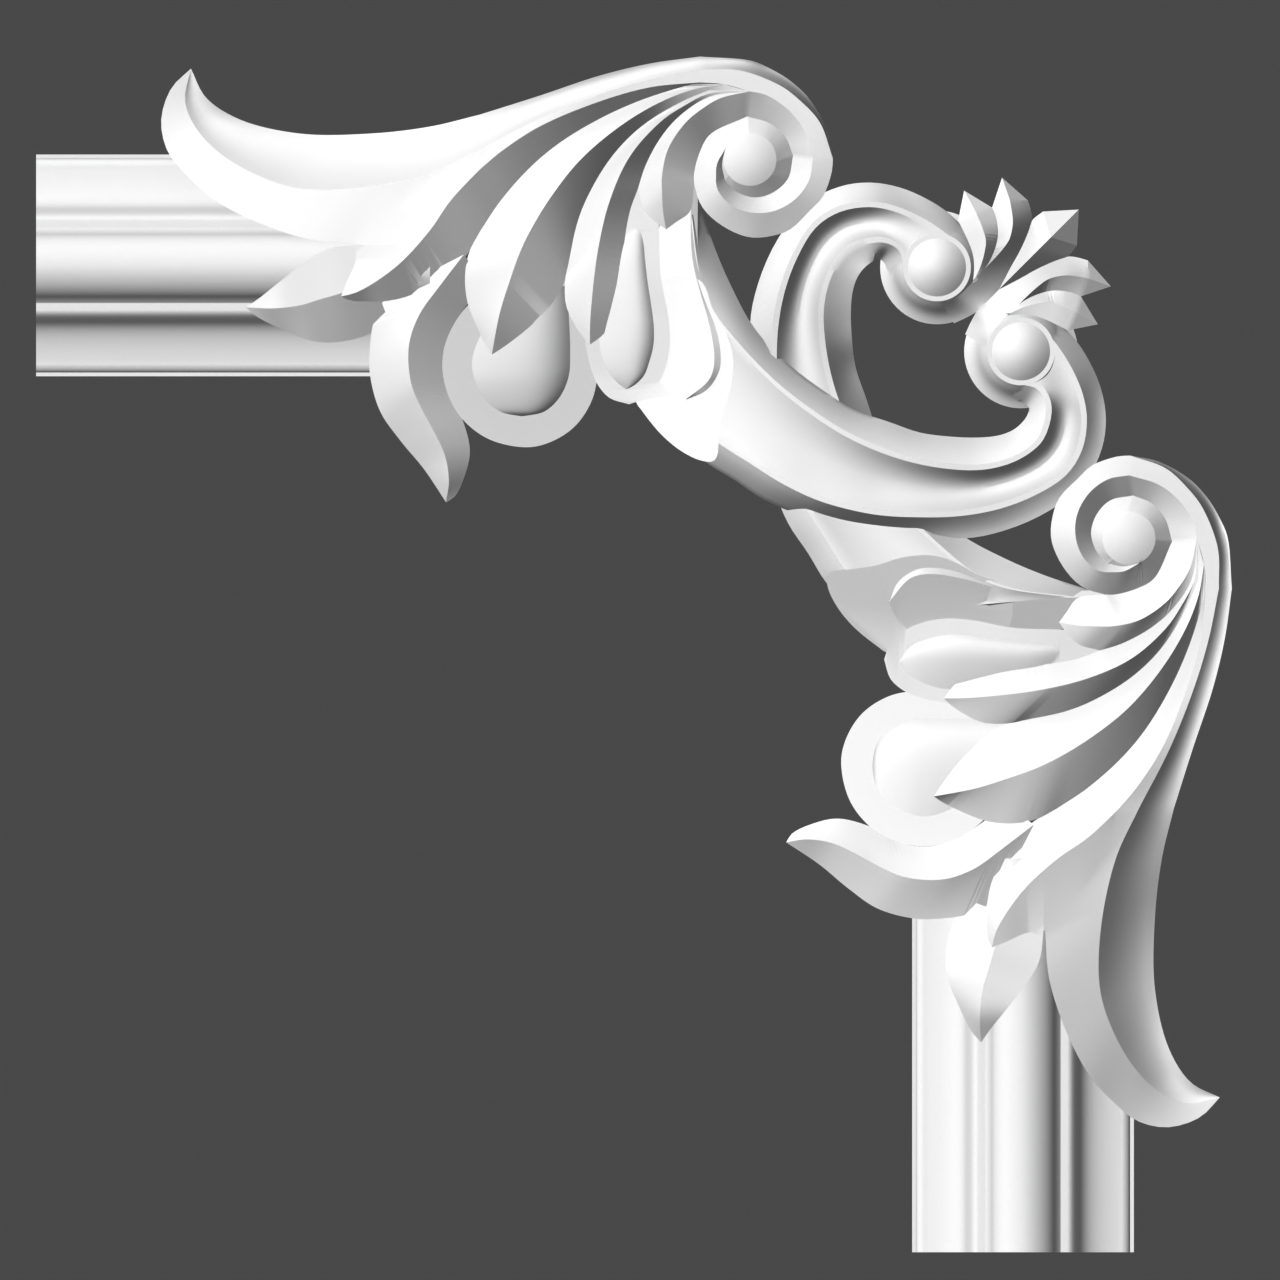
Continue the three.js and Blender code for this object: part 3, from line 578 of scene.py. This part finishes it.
# Rails of a stem in the plan, from under the sheath to the eye of its curl, with one point
# on each rail at every station along the stem.
STEM_OUTER_FOOT = [
    [136, 79], [120, 44], [98, 22], [69, 4], [39, -16], [4, -30], [-31, -38], [-68, -42],
    [-111, -46], [-158, -54], [-201, -46], [-246, -26], [-281, 2], [-298, 36], [-302, 66],
    [-297, 96], [-286, 122], [-272, 144], [-254, 162],
]
STEM_OUTER_FILLET = [
    [128, 92], [110, 60], [84, 40], [54, 21], [24, 2], [-11, -15], [-44, -25], [-76, -31],
    [-113, -33], [-154, -32], [-194, -25], [-231, -11], [-262, 9], [-278, 34], [-283, 64],
    [-279, 90], [-267, 118], [-252, 141], [-236, 159],
]
STEM_INNER_FILLET = [
    [112, 269], [104, 209], [91, 175], [64, 140], [29, 104], [-8, 75], [-41, 54], [-76, 38],
    [-111, 27], [-146, 21], [-176, 20], [-201, 25], [-220, 34], [-234, 47], [-242, 74],
    [-239, 88], [-232, 96], [-218, 100], [-206, 106],
]
STEM_INNER_FOOT = [
    [104, 281], [92, 244], [74, 201], [48, 154], [14, 119], [-22, 92], [-52, 74], [-84, 63],
    [-116, 52], [-146, 48], [-174, 47], [-194, 49], [-208, 54], [-217, 61], [-223, 69],
    [-225, 76], [-222, 80], [-212, 84], [-200, 88],
]

# Each stem's height at every station, how far its sides fall from the fillets to their feet,
# and how far a side is hollowed (above 0) or rounded (below 0) halfway down.
OVER_STEM = {
    "heights": [
        44, 54, 62, 74, 82, 86, 88, 88, 87, 84, 81, 80, 79, 78, 78, 77, 76, 76, 76,
    ],
    "outer_falls": [
        34, 40, 44, 44, 50, 52, 54, 48, 36, 27, 20, 13, 12, 16, 22, 32, 28, 28, 28,
    ],
    "outer_hollows": [
        -4, -4, -4, -4, -4, -2, 0, 0, 1, 3.3, 2.8, 1.9, 1.6, 1.6, 2.8, 2, 0, -1, -1,
    ],
    "inner_falls": [
        34, 34, 34, 34, 36, 36, 38, 38, 38, 38, 38, 36, 34, 28, 23, 22, 28, 30, 30,
    ],
    "inner_hollows": [
        -3, -3, -3, -3, -3, -3, -3, -3, -3, -3, -3, -3, -3, -2, -2, -2, -2, -2, -2,
    ],
}
UNDER_STEM = {
    "heights": [
        68, 66, 64, 60, 56, 52, 50, 50, 52, 58, 66, 72, 76, 78, 78, 77, 76, 76, 76,
    ],
    "outer_falls": [
        29, 29, 29, 29, 29, 34, 40, 42, 36, 27, 20, 13, 12, 16, 22, 32, 28, 28, 28,
    ],
    "outer_hollows": [
        -2, -2, -2, -2, -2, -1, 0, 0, 1, 3.3, 2.8, 1.9, 1.6, 1.6, 2.8, 2, 0, -1, -1,
    ],
    "inner_falls": [
        30, 30, 30, 30, 30, 34, 44, 46, 44, 24, 15, 10, 6, 5, 8, 30, 30, 30, 30,
    ],
    "inner_hollows": [
        0, 0, 0, 0, 0, 1, 2, 3, 6, 4, 2, 1.4, 1, 0.8, 1.2, 0, 0, 0, 0,
    ],
}

# The channel's depth at every station, the cuts across the channel and across a side, and
# the width of the flat fillets beside the channel.
CHANNEL_DEPTHS = [
    9, 9, 9, 10, 11, 13, 15, 18, 20, 24, 28, 26, 26, 26, 20, 9, 3, 0, 0,
]
CHANNEL_CUTS = 12
SIDE_CUTS = 6
FILLET_STEPS = 6

# The eye of a curl: a ball in a flat ring, with a hollow side of (radius, height) points.
CURL_EYE = [-217, 133]
EYE_SIDE = [
    (57, 40), (54.5, 41.7), (52, 43.7), (50, 45.6), (48, 48), (46, 51), (44, 55), (42, 60),
    (40, 65), (38, 69), (36, 72.5), (34, 76),
]
EYE_BALL_RADIUS = 29
EYE_BALL_TOP = 91

# The palmette at the outer point: two leaflets, each with a twin, and one on the diagonal.
TIP_SECTIONS = 2
LEAFLET_SECTIONS = 8


def faceted(tip, points):
    """A rail of a leaflet: straight from the tip to the widest place, then along a curve."""
    return chained(
        line([tip, points[0]], TIP_SECTIONS), line(points, LEAFLET_SECTIONS - TIP_SECTIONS)
    )


LEAFLET_VALLEY = [
    [-188, 277, 64], [-192, 267, 66], [-194, 252, 67], [-192, 239, 63], [-186, 224, 68],
    [-178, 212, 76], [-171, 202, 78],
]
FIRST_TIP = [-160, 294, 60]
FIRST_LEAFLET_BACK = faceted(FIRST_TIP, [
    [-154, 264, 75], [-159, 254, 77], [-165, 241, 78], [-169, 229, 78], [-170, 216, 78],
    [-169, 204, 78],
])
FIRST_LEAFLET_RIDGE = faceted(FIRST_TIP, [
    [-172, 272, 77], [-178, 258, 80], [-182, 244, 81], [-181, 234, 81], [-177, 219, 80],
    [-171, 206, 79],
])
FIRST_LEAFLET_EDGE = faceted(FIRST_TIP, LEAFLET_VALLEY)
RING_JOINT = [-168, 202, 78]
EYE_RING = line([RING_JOINT, [-158.5, 192, 76], [-147, 184, 76], [-137, 182, 76]], 4)
SECOND_TIP = [-198, 307, 56]
SECOND_LEAFLET_BACK = chained(faceted(SECOND_TIP, [*LEAFLET_VALLEY, RING_JOINT]), EYE_RING)
SECOND_LEAFLET_RIDGE = chained(
    faceted(SECOND_TIP, [
        [-206, 284, 72], [-209, 264, 80], [-208, 254, 81], [-205, 244, 81], [-197, 233, 81],
        [-187, 222, 80], [-177, 212, 80], RING_JOINT,
    ]),
    EYE_RING,
)
CREASE_START = [-195, 195, 56]
MIDDLE_VALLEY = [
    [-228, 264, 44], [-224, 252, 45], [-216, 234, 48], [-206, 216, 52], CREASE_START,
]
SECOND_LEAFLET_EDGE = chained(
    faceted(SECOND_TIP, [[-224, 284, 52], [-227, 274, 48], *MIDDLE_VALLEY]),
    line([CREASE_START, [-186, 186, 60], [-176, 175, 62], [-163, 167, 50], [-150, 161, 42]], 4),
)

# Past the leaflet, its inner side sinks by this much more at each section, until it meets
# the hollow side of the eye.
CREASE_SAG = 1.5
EYE_CREASE_SAGS = CREASE_SAG * np.maximum(
    0, np.arange(len(SECOND_LEAFLET_EDGE)) / FINE - LEAFLET_SECTIONS
)

MIDDLE_TIP = [-275, 275, 48]
MIDDLE_LEAFLET_BACK = faceted(MIDDLE_TIP, [[-239, 273, 46], *MIDDLE_VALLEY])
MIDDLE_LEAFLET_RIDGE = faceted(MIDDLE_TIP, [
    [-247, 247, 80], [-236, 236, 77], [-216, 216, 68], CREASE_START,
])


class Grid:
    """Turns grid points into metres; the second spray is the first mirrored in the diagonal."""

    def __init__(self, sizes, mirrored=False):
        self.step = sizes.carving_span / SPAN_STEPS
        self.rise = sizes.carving_relief / RELIEF_STEPS
        self.mirrored = mirrored

    def placed(self, points):
        left, up, height = np.array(points, dtype=float).reshape(-1, 3).T
        x, y, z = -left * self.step, -height * self.rise, up * self.step
        return np.column_stack([z, y, x] if self.mirrored else [x, y, z])


def solid(name, points, polygons):
    """A closed mesh object: near points are merged, collapsed faces dropped, the rest face out."""
    _, kept, index = np.unique(
        np.round(points / WELD), axis=0, return_index=True, return_inverse=True
    )
    index = index.reshape(-1)
    faces = []
    for polygon in polygons:
        corners = [index[corner] for corner in polygon]
        corners = [c for c, after in zip(corners, corners[1:] + corners[:1]) if c != after]
        if len(set(corners)) > 2:
            faces.append(corners)
    places = points[kept]
    fans = [(f[0], f[i], f[i + 1]) for f in faces for i in range(1, len(f) - 1)]
    a, b, c = (places[list(side)] for side in zip(*fans))
    if np.einsum("ij,ij->i", a, np.cross(b, c)).sum() < 0:
        faces = [face[::-1] for face in faces]
    mesh = bpy.data.meshes.new(name)
    mesh.from_pydata(places.tolist(), [], [[int(c) for c in face] for face in faces])
    return bpy.data.objects.new(name, mesh)


def parabola(share):
    """Height of a parabola that is 0 at both ends of its span and 1 in the middle."""
    return 4 * share * (1 - share)


def relief(name, rails, grid, bends=()):
    """A form between rails that run along it: its front is stretched from rail to rail.

    Its sides and ends drop to the back. A panel is hollowed by a bend above 0 and rounded by
    one below 0; the bend is at most a share of the panel's width, so it runs out where the
    panel does.
    """
    columns = []
    for number, (start, end) in enumerate(zip(rails, rails[1:])):
        wanted = bends[number] if number < len(bends) else 0
        width = np.linalg.norm(end - start, axis=1)
        bend = np.sign(wanted) * np.minimum(abs(wanted), width * MOST_BEND)
        cuts = PANEL_CUTS if wanted else 1
        for share in np.arange(cuts) / cuts:
            column = start + (end - start) * share
            column[:, 2] -= parabola(share) * bend
            columns.append(column)
    columns.append(rails[-1])
    for edge in (columns[-1], columns[0]):
        foot = edge.copy()
        foot[:, 2] = 0
        columns.append(foot)
    around = len(columns)
    rows = np.stack(columns, axis=1)
    points = grid.placed(rows)
    polygons = []
    for row in range(len(rows) - 1):
        here, ahead = row * around, (row + 1) * around
        for column in range(around):
            beside = (column + 1) % around
            a, b = here + column, here + beside
            c, d = ahead + beside, ahead + column
            polygons += [(a, b, c), (a, c, d)]
    last = (len(rows) - 1) * around
    polygons.append(tuple(range(around - 1, -1, -1)))
    polygons.append(tuple(range(last, last + around)))
    return solid(name, points, polygons)


def prism_faces(count):
    """Faces of a prism between two rings of this many points, one ring after the other."""
    faces = [tuple(range(count)), tuple(range(2 * count - 1, count - 1, -1))]
    for here in range(count):
        ahead = (here + 1) % count
        faces.append((ahead, here, here + count, ahead + count))
    return faces


def face_height(face, left, up):
    """Height of a tilted face over a place in the plan."""
    (at_left, at_up, height), rise_left, rise_up = face
    return height + rise_left * (left - at_left) + rise_up * (up - at_up)


def plate(name, outline, face, grid, sections):
    """A tilted plate with a curved outline."""
    ring = [outline[-1], *outline, outline[0]]
    flat = [(left, up, 0) for left, up in ring]
    loop = line(flat[1:-1] + flat[1:2], sections, before=flat[0], after=flat[2])[:-1]
    top = loop.copy()
    top[:, 2] = face_height(face, loop[:, 0], loop[:, 1])
    return solid(name, grid.placed(np.vstack([top, loop])), prism_faces(len(loop)))


def turned(name, centre, profile, grid):
    """A form turned about an axis that stands on the back: profile points are (radius, height)."""
    profile = np.array([(profile[0][0], 0), *profile], dtype=float)
    angles = np.linspace(0, 2 * math.pi, ROUND_SIDES, endpoint=False)
    points = [
        (centre[0] + radius * math.cos(angle), centre[1] + radius * math.sin(angle), height)
        for radius, height in profile
        for angle in angles
    ]
    polygons = [tuple(range(ROUND_SIDES - 1, -1, -1))]
    for ring in range(len(profile) - 1):
        low, high = ring * ROUND_SIDES, (ring + 1) * ROUND_SIDES
        for here in range(ROUND_SIDES):
            ahead = (here + 1) % ROUND_SIDES
            polygons.append((low + here, low + ahead, high + ahead, high + here))
    return solid(name, grid.placed(points), polygons)


def dome(radius, foot, top):
    """Profile of a dome on top of a turned form."""
    shares = np.linspace(1, 0, DOME_CUTS + 1)
    return [(radius * share, foot + (top - foot) * (1 - share * share)) for share in shares]


def falling(start, end, pulls):
    """Points along a falling curve, without its first one."""
    start, end = np.array(start), np.array(end)
    first, second = (start + (end - start) * pull for pull in np.array(pulls))
    share = (np.arange(SECTION_CUTS) + 1)[:, None] / SECTION_CUTS
    return (
        (1 - share) ** 3 * start
        + 3 * (1 - share) ** 2 * share * first
        + 3 * (1 - share) * share**2 * second
        + share**3 * end
    ).tolist()


def moulding_section(sizes):
    """Right half of the moulding's section, from the crown down to the edge, in metres."""
    half = sizes.moulding_width / 2
    nose = half - EDGE_STRIP
    turns = np.linspace(0, TORUS_TURN, SECTION_CUTS + 1)
    crown = [
        (TORUS_RADIUS * math.sin(turn), FILLET_HEIGHT + TORUS_RADIUS * math.cos(turn))
        for turn in turns
    ]
    arris = (FILLET_START + FILLET_WIDTH, FILLET_HEIGHT)
    cove = (arris[0] + ARRIS_WIDTH, arris[1] - ARRIS_HEIGHT)
    nose_top = (nose - NOSE_WIDTH, NOSE_HEIGHT)
    turns = np.linspace(0, math.pi / 2, SECTION_CUTS + 1)[1:]
    return [
        *crown,
        *falling(crown[-1], (FILLET_START, FILLET_HEIGHT), EASE_PULLS),
        arris,
        *falling(arris, cove, ARRIS_PULLS),
        *falling(cove, nose_top, COVE_PULLS),
        *(
            (
                nose_top[0] + NOSE_WIDTH * math.sin(turn),
                EDGE_HEIGHT + (NOSE_HEIGHT - EDGE_HEIGHT) * math.cos(turn),
            )
            for turn in turns
        ),
        (half, EDGE_HEIGHT),
        (half, 0.0),
    ]


def moulding(name, sizes, grid):
    """A length of moulding, cut square at its outer end."""
    right = moulding_section(sizes)
    section = [(-across, off) for across, off in right[::-1]] + right[1:]
    centre = MOULDING_LINE * grid.step
    end = -LEAF_TIP * grid.step - sizes.stub_length
    start = -MOULDING_START * grid.step
    points = []
    for along in (end, start):
        for across, off in section:
            x, z = along, centre + across
            points.append((z, -off, x) if grid.mirrored else (x, -off, z))
    return solid(name, np.array(points), prism_faces(len(section)))


def leaf_spray(grid):
    """The long leaf, the four lobes under it and the two leaves below them."""
    forms = [relief("long_leaf", [WING_EDGE, WING_RIDGE, WING_BACK], grid, (0, WING_HOLLOW))]
    for number, rails in enumerate((FIRST_LOBE, SECOND_LOBE, THIRD_LOBE, FOURTH_LOBE)):
        forms.append(relief(f"lobe_{number}", rails, grid))
    arrow = lines([ARROW_BACK, ARROW_RIDGE, ARROW_EDGE], ARROW_SECTIONS)
    hook = lines([HOOK_BACK, HOOK_RIDGE, HOOK_EDGE], HOOK_SECTIONS)
    return [*forms, relief("arrow_leaf", arrow, grid), relief("hook_leaf", hook, grid)]


def scroll(grid):
    """The scroll that the long leaf grows into, and the ball in its eye."""
    top = SCROLL_TOP_SECTIONS * FINE
    ball = dome(SCROLL_BALL_RADIUS, SCROLL_BALL_FOOT, SCROLL_BALL_TOP)
    return [
        relief("scroll_side", [SCROLL_RIM, SCROLL_RIM_BACK], grid, (WING_HOLLOW,)),
        relief("scroll_top", [SCROLL_OUTER[: top + 1], SCROLL_RIDGE[: top + 1]], grid),
        relief("scroll_band", [SCROLL_OUTER[top:], SCROLL_RIDGE[top:], SCROLL_VALLEY], grid),
        relief("scroll_end", [SCROLL_RIDGE_END, SCROLL_VALLEY_END], grid),
        relief(
            "scroll_turn",
            [chained(FOURTH_VALLEY, SCROLL_VALLEY, SCROLL_VALLEY_END), SECOND_TURN],
            grid,
        ),
        turned("scroll_ball", SCROLL_BALL, ball, grid),
    ]


def crowned_drop(name, sides, crown, grid):
    """A drop whose crown lies nearer its inner edge, where it rounds over steeply."""
    back, edge = lines(sides, DROP_SECTIONS)
    width = np.linalg.norm(edge - back, axis=1)
    height = crown * width / width.max()
    rails = []
    for share in np.linspace(0, 1, DROP_CUTS + 1):
        rise = 1 - (1 - share) ** CROWN_RISE_POWER
        fall = 1 - share**CROWN_FALL_POWER
        rail = back + (edge - back) * share
        rail[:, 2] += height * fall * rise
        rails.append(rail)
    return relief(name, rails, grid)


def third_drop(grid):
    """The third drop: a tilted face with a chamfer and a wall along its inner edge."""

    def raised(rail, fall=0):
        return [(left, up, face_height(THIRD_DROP_FACE, left, up) - fall) for left, up in rail]

    rails = [
        raised(THIRD_DROP_BACK),
        raised(THIRD_DROP_ARRIS),
        raised(THIRD_DROP_EDGE, THIRD_DROP_CHAMFER),
    ]
    back, arris, edge = lines(rails, THIRD_DROP_SECTIONS)
    plan = towards(edge[:, :2], arris[:, :2], -WALL_LEAN)
    foot = np.column_stack([plan, edge[:, 2] - THIRD_DROP_WALL])
    return relief("third_drop", [back, arris, edge, foot], grid)


def drops(grid):
    """The three drops under the lobes with their rims, and the sheath that holds the stem."""
    second_rim = lines([SECOND_RIM_BACK, SECOND_RIM_EDGE], SECOND_RIM_SECTIONS)
    first_sides = (FIRST_DROP_BACK, FIRST_DROP_EDGE)
    second_sides = (SECOND_DROP_BACK, SECOND_DROP_EDGE)
    return [
        plate("first_rim", FIRST_RIM, FIRST_RIM_FACE, grid, FIRST_RIM_SECTIONS),
        crowned_drop("first_drop", first_sides, FIRST_DROP_CROWN, grid),
        relief("second_rim", second_rim, grid),
        crowned_drop("second_drop", second_sides, SECOND_DROP_CROWN, grid),
        third_drop(grid),
        plate("sheath", SHEATH, SHEATH_FACE, grid, SHEATH_SECTIONS),
    ]


def towards(rail, other, distance):
    """A rail moved sideways in the plan towards another one."""
    way = other - rail
    run = np.linalg.norm(way, axis=1)[:, None]
    return rail + way / np.where(run > 0, run, 1) * distance


def between(start, end, cuts, sags):
    """Rails inside a panel, sunk along a parabola by a sag at every station."""
    rails = []
    for share in np.arange(1, cuts) / cuts:
        rail = start + (end - start) * share
        rail[:, 2] -= parabola(share) * np.array(sags)
        rails.append(rail)
    return rails


def stem(shape, grid):
    """A stem with a channel along it and hollowed or rounded sides, and the eye of its curl."""
    heights = np.array(shape["heights"], dtype=float)

    def raised(rail, falls=0.0):
        return np.column_stack([np.array(rail, dtype=float)[:, :2], heights - falls])

    outer_foot = raised(STEM_OUTER_FOOT, shape["outer_falls"])
    inner_foot = raised(STEM_INNER_FOOT, shape["inner_falls"])
    outer_fillet = raised(STEM_OUTER_FILLET)
    inner_fillet = raised(STEM_INNER_FILLET)
    outer_inside = towards(outer_fillet[:, :2], inner_fillet[:, :2], FILLET_STEPS)
    inner_inside = towards(inner_fillet[:, :2], outer_fillet[:, :2], FILLET_STEPS)
    outer_inside, inner_inside = raised(outer_inside), raised(inner_inside)
    rails = [
        outer_foot,
        *between(outer_foot, outer_fillet, SIDE_CUTS, shape["outer_hollows"]),
        outer_fillet,
        outer_inside,
        *between(outer_inside, inner_inside, CHANNEL_CUTS, CHANNEL_DEPTHS),
        inner_inside,
        inner_fillet,
        *between(inner_fillet, inner_foot, SIDE_CUTS, shape["inner_hollows"]),
        inner_foot,
    ]
    stations = len(heights) - 1
    eye = [*EYE_SIDE, *dome(EYE_BALL_RADIUS, EYE_SIDE[-1][1], EYE_BALL_TOP)]
    return [
        relief("stem", [line(rail, stations, in_step=True) for rail in rails], grid),
        turned("curl_eye", CURL_EYE, eye, grid),
    ]


def palmette(grid):
    """Two leaflets of the palmette at the corner's outer point."""
    first = [FIRST_LEAFLET_BACK, FIRST_LEAFLET_RIDGE, FIRST_LEAFLET_EDGE]
    second = [
        SECOND_LEAFLET_BACK,
        SECOND_LEAFLET_RIDGE,
        *between(SECOND_LEAFLET_RIDGE, SECOND_LEAFLET_EDGE, SIDE_CUTS, EYE_CREASE_SAGS),
        SECOND_LEAFLET_EDGE,
    ]
    return [
        relief("first_leaflet", first, grid),
        relief("second_leaflet", second, grid),
    ]


def middle_leaflet(grid):
    """The leaflet on the diagonal."""
    twin = MIDDLE_LEAFLET_BACK[:, [1, 0, 2]] * (-1, -1, 1)
    return relief("middle_leaflet", [MIDDLE_LEAFLET_BACK, MIDDLE_LEAFLET_RIDGE, twin], grid)


def united(name, forms):
    """One closed object joined from overlapping closed forms, which are used up."""
    whole = forms[0]
    for form in forms:
        bpy.context.collection.objects.link(form)
    for form in forms[1:]:
        joint = whole.modifiers.new(form.name, "BOOLEAN")
        joint.operation = "UNION"
        joint.solver = "MANIFOLD"
        joint.object = form
    evaluated = whole.evaluated_get(bpy.context.evaluated_depsgraph_get())
    mesh = bpy.data.meshes.new_from_object(evaluated)
    for form in forms:
        bpy.data.meshes.remove(form.data)
    mesh.name = name
    joined = bpy.data.objects.new(name, mesh)
    bpy.context.collection.objects.link(joined)
    return joined


def plaster_material(finish):
    """Dry, matt plaster with faint clouds and a fine grain."""
    material = bpy.data.materials.new("matt_plaster")
    material.use_nodes = True
    nodes, links = material.node_tree.nodes, material.node_tree.links
    shader = nodes["Principled BSDF"]
    place = nodes.new("ShaderNodeTexCoord")
    clouds = nodes.new("ShaderNodeTexNoise")
    clouds.inputs["Scale"].default_value = CLOUD_SCALE
    clouds.inputs["Detail"].default_value = CLOUD_DETAIL
    links.new(place.outputs["Object"], clouds.inputs["Vector"])
    colours = nodes.new("ShaderNodeMix")
    colours.data_type = "RGBA"
    colours.inputs["A"].default_value = (*finish.pale, 1)
    colours.inputs["B"].default_value = (*finish.dull, 1)
    links.new(clouds.outputs["Fac"], colours.inputs["Factor"])
    links.new(colours.outputs["Result"], shader.inputs["Base Color"])
    grain = nodes.new("ShaderNodeTexNoise")
    grain.inputs["Scale"].default_value = GRAIN_SCALE
    grain.inputs["Detail"].default_value = GRAIN_DETAIL
    links.new(place.outputs["Object"], grain.inputs["Vector"])
    bump = nodes.new("ShaderNodeBump")
    bump.inputs["Strength"].default_value = 1
    bump.inputs["Distance"].default_value = finish.grain
    links.new(grain.outputs["Fac"], bump.inputs["Height"])
    links.new(bump.outputs["Normal"], shader.inputs["Normal"])
    matt = nodes.new("ShaderNodeMapRange")
    matt.inputs["To Min"].default_value = finish.roughness - ROUGHNESS_SPREAD
    matt.inputs["To Max"].default_value = finish.roughness + ROUGHNESS_SPREAD
    links.new(grain.outputs["Fac"], matt.inputs["Value"])
    links.new(matt.outputs["Result"], shader.inputs["Roughness"])
    shader.inputs["Specular IOR Level"].default_value = PLASTER_SHEEN
    return material


def plain_material(name, colour):
    """A plain matt surface for the stage."""
    material = bpy.data.materials.new(name)
    material.use_nodes = True
    shader = material.node_tree.nodes["Principled BSDF"]
    shader.inputs["Base Color"].default_value = (*colour, 1)
    shader.inputs["Roughness"].default_value = STAGE_ROUGHNESS
    shader.inputs["Specular IOR Level"].default_value = 0.0
    return material


class PLASTER_OT_cast_corner(bpy.types.Operator):
    """Cast the corner with its leaf sprays, scrolls, stems, palmette and mouldings"""

    bl_idname = "plaster.cast_corner"
    bl_label = "Cast Corner"
    bl_options = {"REGISTER", "UNDO"}

    def execute(self, context):
        sizes = context.scene.corner_sizes
        forms = [middle_leaflet(Grid(sizes))]
        for mirrored, shape in ((False, OVER_STEM), (True, UNDER_STEM)):
            grid = Grid(sizes, mirrored)
            forms += [
                moulding("moulding", sizes, grid),
                *leaf_spray(grid),
                *scroll(grid),
                *drops(grid),
                *stem(shape, grid),
                *palmette(grid),
            ]
        casting = united("casting", forms)
        casting.data.materials.append(plaster_material(context.scene.plaster_finish))
        casting.data.shade_smooth()
        casting.data.set_sharp_from_angle(angle=math.radians(SHARP_DEGREES))
        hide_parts(CAD_NODE)
        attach(casting, BODY)
        return {"FINISHED"}


class PLASTER_OT_set_stage(bpy.types.Operator):
    """Set the backdrop, the floor, the soft light and the camera"""

    bl_idname = "plaster.set_stage"
    bl_label = "Set Stage"
    bl_options = {"REGISTER", "UNDO"}

    def execute(self, context):
        look = context.scene.stage_look
        reach, far, low = STAGE_REACH, BACKDROP_DISTANCE, FLOOR_LEVEL
        self.add_sheet(
            "backdrop",
            [(-reach, far, low), (reach, far, low), (reach, far, reach), (-reach, far, reach)],
            plain_material("backdrop_grey", look.backdrop),
        )
        self.add_sheet(
            "floor",
            [(-reach, -reach, low), (reach, -reach, low), (reach, far, low), (-reach, far, low)],
            plain_material("floor_pale", look.floor),
        )
        self.add_light(context, look)
        self.add_camera(context, look)
        return {"FINISHED"}

    def add_sheet(self, name, corners, material):
        mesh = bpy.data.meshes.new(name)
        mesh.from_pydata(corners, [], [(0, 1, 2, 3)])
        sheet = bpy.data.objects.new(name, mesh)
        bpy.context.collection.objects.link(sheet)
        mesh.materials.append(material)

    def add_light(self, context, look):
        self.add_lamp(context, "key", KEY_DIRECTION, look.key_strength)
        self.add_lamp(context, "back", BACK_DIRECTION, look.back_strength)
        tilt = math.radians(FILL_TILT)
        for number in range(FILL_LAMPS):
            turn = 2 * math.pi * (number + 0.5) / FILL_LAMPS
            across, up = math.sin(tilt) * math.cos(turn), math.sin(tilt) * math.sin(turn)
            direction = (across, -math.cos(tilt), up)
            self.add_lamp(context, f"fill_{number}", direction, look.fill_strength)
        world = bpy.data.worlds.new("dim_room")
        world.use_nodes = True
        background = world.node_tree.nodes["Background"]
        background.inputs["Color"].default_value = (*look.backdrop, 1)
        background.inputs["Strength"].default_value = look.room_strength
        context.scene.world = world

    def add_lamp(self, context, name, direction, strength):
        """A far, soft lamp that lights the casting evenly from one side, without shadows."""
        lamp = bpy.data.lights.new(name, "SUN")
        lamp.energy = strength
        lamp.angle = math.radians(LAMP_SOFTNESS)
        lamp.use_shadow = False
        lamp.cycles.cast_shadow = False
        holder = bpy.data.objects.new(name, lamp)
        holder.rotation_mode = "QUATERNION"
        holder.rotation_quaternion = Vector(direction).to_track_quat("Z", "Y")
        context.collection.objects.link(holder)

    def add_camera(self, context, look):
        camera = bpy.data.cameras.new("front")
        camera.type = "ORTHO"
        camera.ortho_scale = look.view_width
        holder = bpy.data.objects.new("front", camera)
        holder.location = CAMERA_PLACE
        holder.rotation_euler = (math.pi / 2, 0, 0)
        context.collection.objects.link(holder)
        context.scene.camera = holder
        context.scene.view_settings.view_transform = "Raw"
        context.scene.cycles.diffuse_bounces = 0


class PLASTER_PT_corner(bpy.types.Panel):
    """Sizes, finish and stage of the plaster corner"""

    bl_idname = "PLASTER_PT_corner"
    bl_label = "Plaster Corner"
    bl_space_type = "VIEW_3D"
    bl_region_type = "UI"
    bl_category = "Plaster Corner"

    def draw(self, context):
        scene = context.scene
        for group, operator in (
            (scene.corner_sizes, PLASTER_OT_cast_corner),
            (scene.plaster_finish, None),
            (scene.stage_look, PLASTER_OT_set_stage),
        ):
            box = self.layout.box()
            for name in group.__annotations__:
                box.prop(group, name)
            if operator:
                box.operator(operator.bl_idname)


CLASSES = (
    CornerSizes,
    PlasterFinish,
    StageLook,
    PLASTER_OT_cast_corner,
    PLASTER_OT_set_stage,
    PLASTER_PT_corner,
)


def register():
    for item in CLASSES:
        bpy.utils.register_class(item)
    bpy.types.Scene.corner_sizes = PointerProperty(type=CornerSizes)
    bpy.types.Scene.plaster_finish = PointerProperty(type=PlasterFinish)
    bpy.types.Scene.stage_look = PointerProperty(type=StageLook)


def unregister():
    del bpy.types.Scene.corner_sizes
    del bpy.types.Scene.plaster_finish
    del bpy.types.Scene.stage_look
    for item in reversed(CLASSES):
        bpy.utils.unregister_class(item)


def main():
    register()
    bpy.ops.plaster.cast_corner()
    bpy.ops.plaster.set_stage()


if __name__ == "__main__":
    main()
